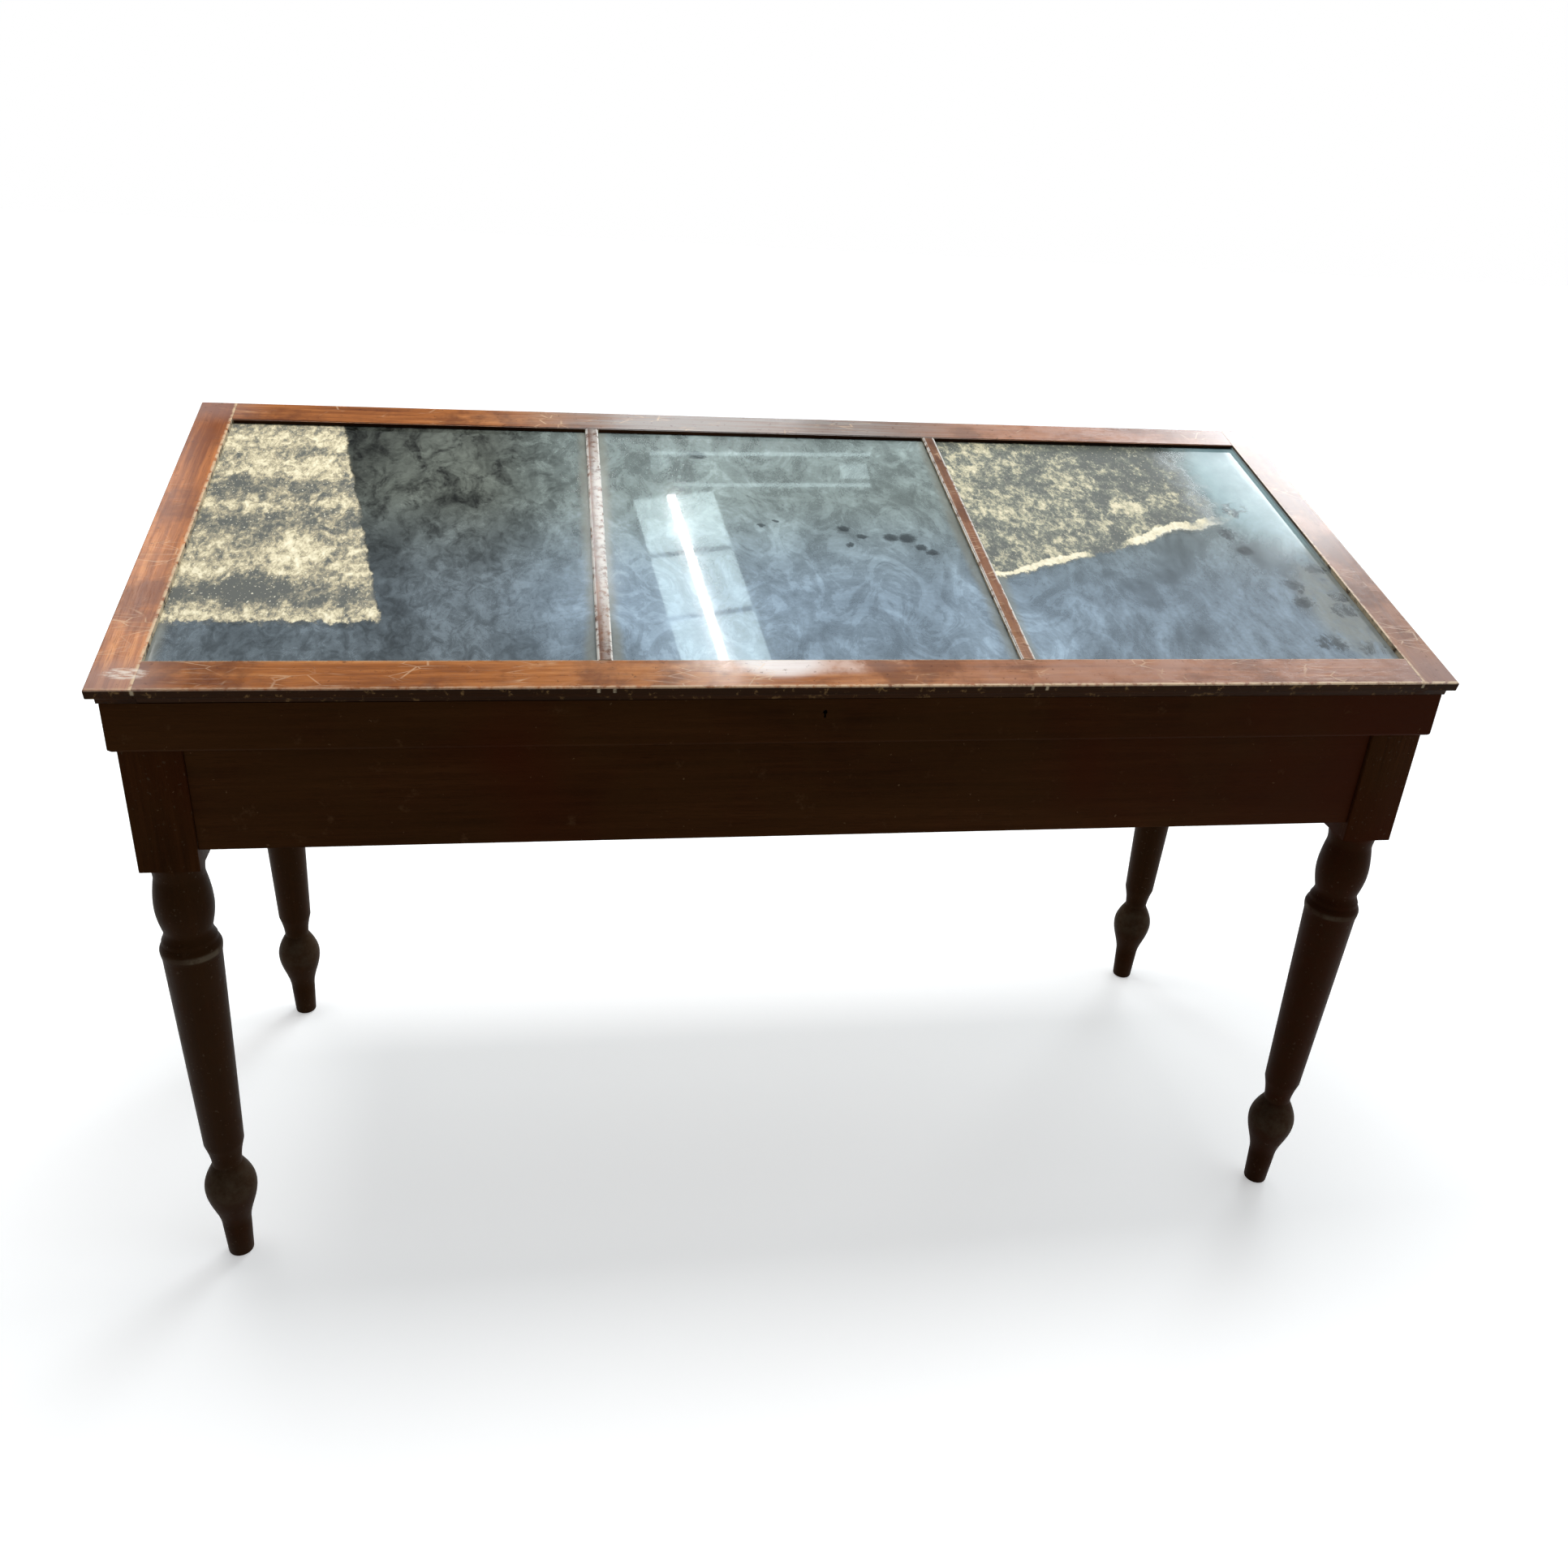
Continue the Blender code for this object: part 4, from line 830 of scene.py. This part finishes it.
# %% [markdown]
# ## Finishes on the solids that stay
# Flat panes, beads, pine boards, hinge pins and the lock's works keep their solids. Each solid only needs
# its finish, put in the material slot that it came with.

# %% Finishes on the solids that stay


def finish(nodes, material):
    for name in nodes:
        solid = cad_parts[name]
        solid.data.materials.clear()
        solid.data.materials.append(material)
    return len(nodes)


PANES = ("left", "middle", "right")
finish([f"glass_{pane}" for pane in PANES], glass)
finish([f"bead_{pane}_{side}" for pane in PANES for side in ("front", "back")], SHADED_EDGE_WOOD["x"])
finish([f"bead_{pane}_{side}" for pane in PANES for side in ("left", "right")], SHADED_EDGE_WOOD["y"])
finish([f"bed_bearer_{i}" for i in range(1, 5)], PINE_Y)
finish([f"glue_block_{side}_{i}" for side in ("front", "back") for i in range(1, 4)], PINE_X)
finish(["display_board"], PINE_X)
finish([f"hinge_{place}_pin" for place in PANES], BRASS)
print("iron pieces:", finish(["lock_case", "lock_bolt"], IRON))

# %% [markdown]
# ## Boards with eased edges
# No old board has a knife edge: a plane takes the sharpness off, and handling rounds it. The boards are
# copied from the solids, their triangles merged back into flat faces, and their long sharp edges
# bevelled. Short edges belong to joints inside the wood, so they stay as they are. A bevel can leave points
# on top of each other, so those are merged. A lid board takes two finishes: polish on the faces that look
# up the slope's w, and on all others a far darker copy of the wood, which is painted shade.
# Weighted normals keep the broad faces truly flat, so that they mirror the lamps as a planed board does.

# %% Boards with eased edges
MERGE, SAME_PLACE = 1e-6, 2e-6
SHORTEST_ARRIS = 0.07
SHARP, FLAT = math.radians(40.0), math.radians(1.0)
LOOKS_UP = 0.25
CASE_EASE, LID_EASE, BAR_EASE = 0.0012, 0.0010, 0.0014


def smooth(mesh, degrees):
    """Smooth shading, with the edges past an angle kept sharp."""
    mesh.shade_smooth()
    mesh.set_sharp_from_angle(angle=math.radians(degrees))


def add_piece(name, mesh, material, body, nodes=()):
    """A finished piece at the origin that rides on a body and stands for the CAD nodes named."""
    piece = in_scene(name, mesh)
    mesh.materials.clear()
    mesh.materials.append(material)
    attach(piece, body)
    if nodes:
        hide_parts(*nodes)
    return piece


def merged(nodes):
    """A copy of CAD nodes with their loose triangles merged into flat faces."""
    shape = bmesh.new()
    for name in nodes:
        shape.from_mesh(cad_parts[name].data)
    bmesh.ops.remove_doubles(shape, verts=shape.verts, dist=MERGE)
    bmesh.ops.dissolve_limit(shape, angle_limit=FLAT, verts=shape.verts, edges=shape.edges)
    return shape


def eased(node, material, body, width, shaded_edge=None):
    """A board with eased edges. A lid board is polished on top only, and elsewhere has a far darker copy of
    its wood, painted shade.
    """
    shape = merged([node])
    arrises = [e for e in shape.edges if e.is_manifold and e.calc_length() > SHORTEST_ARRIS]
    arrises = [e for e in arrises if e.calc_face_angle_signed() > SHARP]
    bmesh.ops.bevel(shape, geom=arrises, offset=width, segments=3, affect="EDGES", clamp_overlap=True)
    bmesh.ops.remove_doubles(shape, verts=shape.verts, dist=SAME_PLACE)
    bmesh.ops.dissolve_degenerate(shape, edges=shape.edges, dist=SAME_PLACE)
    large = [f for f in shape.faces if len(f.verts) > 4]
    bmesh.ops.triangulate(shape, faces=large, ngon_method="EAR_CLIP")
    mesh = mesh_of(shape, node + "_eased")
    smooth(mesh, 32.0)
    piece = add_piece(node + "_eased", mesh, material, body, [node])
    flat = piece.modifiers.new("flat_faces", "WEIGHTED_NORMAL")
    flat.weight = 100
    flat.keep_sharp = True
    if shaded_edge:
        mesh.materials.append(shaded_edge)
        out = ON_SLOPE.to_3x3().col[2]
        for face in mesh.polygons:
            face.material_index = int(face.normal.dot(out) < LOOKS_UP)


for side, way in (("front", "x"), ("back", "x"), ("left", "y"), ("right", "y")):
    eased(f"frieze_{side}", CASE_WOOD[way], "case", CASE_EASE)
    eased(f"apron_{side}", CASE_WOOD[way], "case", CASE_EASE)
for side in ("left", "right"):
    eased(f"lid_stile_{side}", STILE_WOOD, "lid", LID_EASE, SHADED_EDGE_WOOD["y"])
    eased(f"glazing_bar_{side}", BAR_WOOD, "lid", BAR_EASE, SHADED_EDGE_WOOD["y"])
for side in ("front", "back"):
    eased(f"lid_rail_{side}", RAIL_WOOD, "lid", LID_EASE, SHADED_EDGE_WOOD["x"])

# %% [markdown]
# ## Turned legs
# A leg is one piece of wood: a square post, and below it the part that was turned on a lathe. Turning is a
# rule, a radius for each height. Between named places the radius rises or falls as part of a wave, which
# gives the soft swells of turned wood. Geometry Nodes make the rest: a line of points up the middle of the
# leg carries the radius, Curve to Mesh sweeps a circle along it, and a second sweep makes the square post
# with its rounded corners. The four legs are instances of one, realized at the end.

# %% The outline of the turning
POST_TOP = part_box("leg_front_left")[1].z
POST_DROP, POST_WIDTH = 0.149, 0.064
POST_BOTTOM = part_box("frieze_front")[0].z - POST_DROP


def rise(t):
    return math.sin(t * QUARTER)


def fall(t):
    return 1 - math.cos(t * QUARTER)


def ogee(t):
    return (1 - math.cos(t * math.pi)) / 2


def sweep(start, end, way, steps=10):
    """Points between two (radius, height) places, whose radius changes in the way given."""
    points = []
    for i in range(1, steps + 1):
        t = i / steps
        share = way(t)
        points.append((start[0] + (end[0] - start[0]) * share, start[1] + (end[1] - start[1]) * t))
    return points


def drop(radius, distance):
    """A (radius, height) place at a distance below the post."""
    return radius, POST_BOTTOM - distance


TOP, NECK, BALL = drop(0.0298, 0.002), drop(0.0275, 0.020), drop(0.032, 0.058)
WAIST, COLLAR, RING_TOP = drop(0.0266, 0.091), drop(0.0303, 0.103), drop(0.0303, 0.106)
RING, SHAFT = drop(0.034, 0.116), drop(0.0325, 0.126)
SHAFT_END, ANKLE, BULB, TOE = (0.0238, 0.184), (0.0178, 0.149), (0.0312, 0.112), (0.0177, 0.048)
SOLE = [(0.0155, 0.003), (0.0150, 0.0014), (0.0138, 0.0004), (0.0125, 0.0)]
outline = [(TOP[0], POST_BOTTOM + 0.001), TOP]
outline += sweep(TOP, NECK, rise) + sweep(NECK, BALL, rise) + sweep(BALL, WAIST, fall)
outline += sweep(WAIST, COLLAR, fall, 6) + [RING_TOP]
outline += sweep(RING_TOP, RING, rise, 8) + sweep(RING, SHAFT, fall, 8) + [SHAFT_END]
outline += sweep(SHAFT_END, ANKLE, rise, 8) + sweep(ANKLE, BULB, rise, 12) + sweep(BULB, TOE, ogee, 18)
outline += SOLE
print("points up the turned leg:", len(outline))

# %% [markdown]
# Four helpers serve every tree of Geometry Nodes below: one opens a tree with named inputs, one joins
# geometry, one closes the tree with Realize Instances and Set Material, and one runs it and keeps the plain
# mesh that comes out.

# %% Helpers for Geometry Nodes


def new_tree(name, sockets):
    """A Geometry Nodes tree with the sockets named, its input node and the identifiers of its inputs."""
    tree = bpy.data.node_groups.new(name, "GeometryNodeTree")
    tree.interface.new_socket(name="Geometry", in_out="INPUT", socket_type="NodeSocketGeometry")
    identifiers = {}
    for label, kind in sockets.items():
        made = tree.interface.new_socket(name=label, in_out="INPUT", socket_type="NodeSocket" + kind)
        identifiers[label] = made.identifier
    tree.interface.new_socket(name="Geometry", in_out="OUTPUT", socket_type="NodeSocketGeometry")
    return tree, put(tree, "NodeGroupInput").outputs, identifiers


def joined(tree, parts):
    """One geometry made of several nodes' geometry."""
    made = put(tree, "GeometryNodeJoinGeometry")
    for part in parts:
        tree.links.new(part.outputs[0], made.inputs[0])
    return made


def close_tree(tree, geometry, material):
    """Realizes the instances, sets the material and ends the tree."""
    real = put(tree, "GeometryNodeRealizeInstances", {0: geometry})
    painted = put(tree, "GeometryNodeSetMaterial", {"Geometry": real, "Material": material})
    put(tree, "NodeGroupOutput", {0: painted})


def made_by(tree, identifiers, name, data, values):
    """The plain mesh that a tree makes from a curve or mesh, with its inputs set by identifier."""
    carrier = in_scene(name + "_carrier", data)
    modifier = carrier.modifiers.new("nodes", "NODES")
    modifier.node_group = tree
    for label, value in values.items():
        modifier[identifiers[label]] = value
    evaluated = carrier.evaluated_get(bpy.context.evaluated_depsgraph_get())
    mesh = bpy.data.meshes.new_from_object(evaluated)
    mesh.name = name
    carrier.modifiers.remove(modifier)
    bpy.data.objects.remove(carrier)
    return mesh


# %% The leg's tree
leg_tree, given, leg_inputs = new_tree("turned_leg", {
    "Sides": "Int", "Post Width": "Float", "Post Corner": "Float", "Post Bottom": "Float",
    "Post Top": "Float", "Spread X": "Float", "Front Y": "Float", "Back Y": "Float", "Wood": "Material",
})
add = partial(put, leg_tree)
circle = add("GeometryNodeCurvePrimitiveCircle", {"Resolution": given["Sides"], "Radius": 1.0})
radius = add("GeometryNodeInputRadius")
turned = {"Curve": given["Geometry"], "Profile Curve": circle, "Scale": radius, "Fill Caps": True}
turning = add("GeometryNodeCurveToMesh", turned)
width = given["Post Width"]
square = add("GeometryNodeCurvePrimitiveQuadrilateral", {"Width": width, "Height": width})
round_off = {"Curve": square, "Radius": given["Post Corner"], "Count": 3, "Limit Radius": True}
rounded = add("GeometryNodeFilletCurve", round_off, mode="POLY")
start = add("ShaderNodeCombineXYZ", {"Z": given["Post Bottom"]})
end = add("ShaderNodeCombineXYZ", {"Z": given["Post Top"]})
upright = add("GeometryNodeCurvePrimitiveLine", {"Start": start, "End": end})
post = add("GeometryNodeCurveToMesh", {"Curve": upright, "Profile Curve": rounded, "Fill Caps": True})
leg = joined(leg_tree, [turning, post])
corners = []
for x in (Field(given["Spread X"]) * -1.0, given["Spread X"]):
    for y in (given["Front Y"], given["Back Y"]):
        corner = add("ShaderNodeCombineXYZ", {"X": x, "Y": y})
        corners.append(add("GeometryNodePoints", {"Count": 1, "Position": corner}))
placed = add("GeometryNodeInstanceOnPoints", {"Points": joined(leg_tree, corners), "Instance": leg})
close_tree(leg_tree, placed, given["Wood"])
print("nodes in the leg's tree:", len(leg_tree.nodes))

# %% [markdown]
# The legs have their own finish: the case's dark wood with its grain upright, worn and dusty where feet
# and brooms reach. The turned part is duller than the post, and the lip of its ring and the bulb of each
# foot are paler and greyer.

# %% The legs' wood
LEG_DARK, LEG_DUST = (0.0235, 0.0112, 0.0050), (0.082, 0.061, 0.040)
LEG_WOOD = case_wood("leg_mahogany", "z", 7)
shader = LEG_WOOD.node_tree.nodes["Principled BSDF"]
place = field(LEG_WOOD.node_tree, "ShaderNodeTexCoord", output="Object")
height = place.parts()[2]
wear = cloud(place, 70.0, 6.0, 0.72)
foot = near(height, BULB[1] + 0.014, 0.036) * step(wear, 0.30, 0.70, 0.25, 0.75)
ring = near(height, RING[1] - 0.0015, 0.0055) * step(wear, 0.30, 0.55, 0.4, 1.5)
ring = ring * step(cloud(place, 16.0, 2.0, 0.5), 0.42, 0.58, 0.30, 1.2)
toe = step(height, 0.0, 0.05, 0.15, 0.0) * wear
specks = step(cloud(place, 190.0, 2.0, 0.5), 0.66, 0.72) * 0.5
greyed = foot.either(ring).either(toe).either(specks)
wood = Field(shader.inputs["Base Color"].links[0].from_socket)
below_post = fade(height, POST_BOTTOM - 0.010, POST_BOTTOM)
dulled = step(wear, 0.30, 0.70, 0.45, 0.75) * below_post
wood = layered(wood, (dulled, LEG_DARK), (greyed * 0.65, LEG_DUST))
feed(shader, Base_Color=wood, Specular_IOR_Level=0.025)
print("leg finish:", LEG_WOOD.name)

# %% Make the legs
line = bpy.data.curves.new("leg_line", "CURVE")
line.dimensions = "3D"
spline = line.splines.new("POLY")
spline.points.add(len(outline) - 1)
for point, (radius, z) in zip(spline.points, outline):
    point.co = (0.0, 0.0, z, 1.0)
    point.radius = radius
front_leg, back_leg = (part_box(f"leg_{depth}_right") for depth in ("front", "back"))
leg_values = {
    "Sides": 72,
    "Post Width": POST_WIDTH,
    "Post Corner": 0.0022,
    "Post Bottom": POST_BOTTOM,
    "Post Top": POST_TOP,
    "Spread X": (front_leg[0].x + front_leg[1].x) / 2,
    "Front Y": (front_leg[0].y + front_leg[1].y) / 2,
    "Back Y": (back_leg[0].y + back_leg[1].y) / 2,
    "Wood": LEG_WOOD,
}
legs = made_by(leg_tree, leg_inputs, "turned_legs", line, leg_values)
shape = bmesh.new()
shape.from_mesh(legs)
bmesh.ops.remove_doubles(shape, verts=shape.verts, dist=MERGE)
bmesh.ops.recalc_face_normals(shape, faces=shape.faces)
shape.to_mesh(legs)
shape.free()
smooth(legs, 30.0)
leg_nodes = [f"leg_{depth}_{side}" for depth in ("front", "back") for side in ("left", "right")]
add_piece("turned_legs", legs, LEG_WOOD, "case", leg_nodes)
print("legs:", len(legs.polygons), "faces")

# %% [markdown]
# ## Screws and brads
# The hinges, the lock's face plate and the strike are held by slotted countersunk screws, flush with the
# brass. A screw is a cone with a slot cut across it, and a tree of Geometry Nodes sets one on each point
# of a small mesh of places, turned at random as a joiner leaves them. Each point carries the way it faces.
# The plates are copies of the solids with a countersunk hole cut at each place, so the slots show.
# The glazing beads are pinned with small brads, made by the same tree with its slot switched off.

# %% The screw's tree
screw_tree, given, screw_inputs = new_tree("slotted_screw", {
    "Head Radius": "Float", "Head Depth": "Float", "Taper": "Float", "Slot Width": "Float",
    "Slot Depth": "Float", "Slotted": "Bool", "Sides": "Int", "Seed": "Int", "Metal": "Material",
})
add = partial(put, screw_tree)
narrow = Field(given["Head Radius"]) * Field(given["Taper"])
cone = add("GeometryNodeMeshCone", {
    "Vertices": given["Sides"], "Radius Top": given["Head Radius"], "Radius Bottom": narrow,
    "Depth": given["Head Depth"],
})
sunk = add("ShaderNodeCombineXYZ", {"Z": Field(given["Head Depth"]) * -1.0})
head = add("GeometryNodeTransform", {"Geometry": cone, "Translation": sunk})
long, deep = Field(given["Head Radius"]) * 3.0, Field(given["Slot Depth"]) * 2.0
slot_size = add("ShaderNodeCombineXYZ", {"X": long, "Y": given["Slot Width"], "Z": deep})
slot_bar = add("GeometryNodeMeshCube", {"Size": slot_size})
slotted = add("GeometryNodeMeshBoolean", {"Mesh 1": head, "Mesh 2": slot_bar}, operation="DIFFERENCE")
choice = {"Switch": given["Slotted"], "False": head, "True": slotted}
chosen = add("GeometryNodeSwitch", choice, input_type="GEOMETRY")
facing = add("GeometryNodeInputNamedAttribute", {"Name": "facing"}, data_type="FLOAT_VECTOR")
upright = add("FunctionNodeAlignRotationToVector", {"Vector": facing}, axis="Z")
half_turn = {2: 0.0, 3: math.pi, "Seed": given["Seed"]}
chance = add("FunctionNodeRandomValue", half_turn, data_type="FLOAT")
twist = add("FunctionNodeAxisAngleToRotation", {"Axis": (0.0, 0.0, 1.0), "Angle": chance.outputs[1]})
turns = {"Rotation": upright, "Rotate By": twist}
driven = add("FunctionNodeRotateRotation", turns, rotation_space="LOCAL")
seated = {"Points": given["Geometry"], "Instance": chosen, "Rotation": driven}
placed = add("GeometryNodeInstanceOnPoints", seated)
close_tree(screw_tree, placed, given["Metal"])
print("nodes in the screw's tree:", len(screw_tree.nodes))

# %% Plates and their screws
HEAD_RADIUS, HEAD_DEPTH, TAPER, HEAD_SIDES = 0.0034, 0.0017, 0.5, 28
SLOT_WIDTH, SLOT_DEPTH, SUNK = 0.0009, 0.0009, 0.00005
HOLE_RADIUS, HOLE_FLARE, HOLE_RISE, HOLE_EXTRA = HEAD_RADIUS + 0.00015, 1.06, 0.0001, 0.0004
UP, DOWN = Vector((0.0, 0.0, 1.0)), Vector((0.0, 0.0, -1.0))


def screw_points(name, places, facing):
    """A mesh of bare points on the slope, each with the way that it faces."""
    mesh = bpy.data.meshes.new(name)
    mesh.from_pydata([ON_SLOPE @ Vector(place) for place in places], [], [])
    attribute = mesh.attributes.new("facing", "FLOAT_VECTOR", "POINT")
    for item in attribute.data:
        item.vector = ON_SLOPE.to_3x3() @ facing
    return mesh


def countersunk(nodes, places, facing):
    """A copy of brass plates with a conical hole at each place."""
    plates = mesh_of(merged(nodes), "plates")
    cutter = bmesh.new()
    turn = ON_SLOPE.to_3x3() @ facing.rotation_difference(UP).to_matrix()
    for place in places:
        middle = ON_SLOPE @ (Vector(place) - facing * (HEAD_DEPTH / 2 - HOLE_RISE))
        bmesh.ops.create_cone(
            cutter, cap_ends=True, segments=HEAD_SIDES, radius1=HOLE_RADIUS * TAPER,
            radius2=HOLE_RADIUS * HOLE_FLARE, depth=HEAD_DEPTH + HOLE_EXTRA,
            matrix=Matrix.Translation(middle) @ turn.to_4x4(),
        )
    holes = mesh_of(cutter, "holes")
    plate_object, hole_object = in_scene("plates", plates), in_scene("holes", holes)
    cut = plate_object.modifiers.new("holes", "BOOLEAN")
    cut.object = hole_object
    cut.solver = "EXACT"
    evaluated = plate_object.evaluated_get(bpy.context.evaluated_depsgraph_get())
    made = bpy.data.meshes.new_from_object(evaluated)
    bpy.data.objects.remove(plate_object)
    bpy.data.objects.remove(hole_object)
    smooth(made, 35.0)
    return made


def screwed(name, nodes, places, facing, body, seed):
    """Brass plates with countersunk holes, and the screws in them. Gives the number of screws."""
    add_piece(name, countersunk(nodes, places, facing), BRASS, body, nodes)
    values = {
        "Head Radius": HEAD_RADIUS, "Head Depth": HEAD_DEPTH, "Taper": TAPER, "Slot Width": SLOT_WIDTH,
        "Slot Depth": SLOT_DEPTH, "Slotted": True, "Sides": HEAD_SIDES, "Seed": seed, "Metal": BRASS,
    }
    sunk = [Vector(place) - facing * SUNK for place in places]
    points = screw_points("places", sunk, facing)
    screws = made_by(screw_tree, screw_inputs, name + "_screws", points, values)
    add_piece(name + "_screws", screws, BRASS, body)
    return len(places)


HINGE_PLACES = [sum(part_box(f"hinge_{place}_pin"), Vector()).x / 2 for place in PANES]
LEAF_SCREWS, LEAF_ROW = (-0.023, 0.0, 0.023), 0.0095
LEAVES = [("case", -0.02245, UP, 11), ("lid", -0.02215, DOWN, 12)]
PLATES = [("lock_face_plate", 0.0275, UP, "case", 13), ("strike_plate", 0.0175, DOWN, "lid", 14)]
row = slope_box("hinge_middle_case_leaf")[0].y + LEAF_ROW
count = 0
for body, level, facing, seed in LEAVES:
    nodes = [f"hinge_{place}_{body}_leaf" for place in PANES]
    places = [(x + offset, row, level) for x in HINGE_PLACES for offset in LEAF_SCREWS]
    count += screwed(f"hinge_{body}_leaves", nodes, places, facing, body, seed)
for node, reach, facing, body, seed in PLATES:
    low, high = slope_box(node)
    level = high.z if facing is UP else low.z
    places = [(x, (low.y + high.y) / 2, level) for x in (-reach, reach)]
    count += screwed(node + "_fixed", [node], places, facing, body, seed)
print("screws:", count)

# %% Brads in the glazing beads
BRAD_SPACING, BRAD_STAND = 0.115, 0.0002
brad_places = []
for pane in PANES:
    for side in ("front", "back", "left", "right"):
        low, high = slope_box(f"bead_{pane}_{side}")
        run = 0 if side in ("front", "back") else 1
        middle = (low + high) / 2
        tally = round((high[run] - low[run]) / BRAD_SPACING)
        for i in range(tally):
            brad = Vector((middle.x, middle.y, low.z - BRAD_STAND))
            brad[run] = low[run] + (i + 0.5) / tally * (high[run] - low[run])
            brad_places.append(brad)
brad_values = {
    "Head Radius": 0.0010, "Head Depth": 0.0007, "Taper": 0.9, "Slotted": False, "Sides": 12, "Seed": 15,
    "Metal": IRON,
}
brad_points = screw_points("brad_places", brad_places, DOWN)
brads = made_by(screw_tree, screw_inputs, "bead_brads", brad_points, brad_values)
add_piece("bead_brads", brads, IRON, "lid")
print("brads:", len(brad_places))

# %% [markdown]
# ## The lining
# The cloth is glued to the bed, but old glue lets go in places and the cloth lifts a little. A fine grid on
# the slope, raised by noise, has those soft bubbles, and Solidify gives it the cloth's thickness.

# %% The lining
low, high = slope_box("bed_lining")
CLOTH_THICK, LIFT, BUBBLES = 0.0007, 0.0011, 9.0
COLUMNS, ROWS = 150, 60
GLUED_RIM = 0.04
shape = bmesh.new()
bmesh.ops.create_grid(shape, x_segments=COLUMNS, y_segments=ROWS, size=0.5)
for vert in shape.verts:
    cloth_u = (low.x + high.x) / 2 + vert.co.x * (high.x - low.x)
    cloth_v = (low.y + high.y) / 2 + vert.co.y * (high.y - low.y)
    rim = min(0.5 - abs(vert.co.x), 0.5 - abs(vert.co.y)) / GLUED_RIM
    bubble = max(0.0, noise.fractal((BUBBLES * cloth_u, BUBBLES * cloth_v, 3.0), 1.0, 2.0, 3))
    vert.co = ON_SLOPE @ Vector((cloth_u, cloth_v, low.z + CLOTH_THICK + LIFT * min(1.0, rim) * bubble))
mesh = mesh_of(shape, "lining_cloth")
mesh.shade_smooth()
lining = add_piece("lining_cloth", mesh, lining_cloth, "case", ["bed_lining"])
wall = lining.modifiers.new("thickness", "SOLIDIFY")
wall.thickness = CLOTH_THICK
wall.offset = -1.0
print("lining in mm:", [round(1000 * x) for x in (high.x - low.x, high.y - low.y)])

# %% Sizes
low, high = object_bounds()
print("visual box in mm:", [round(1000 * side, 1) for side in high - low])
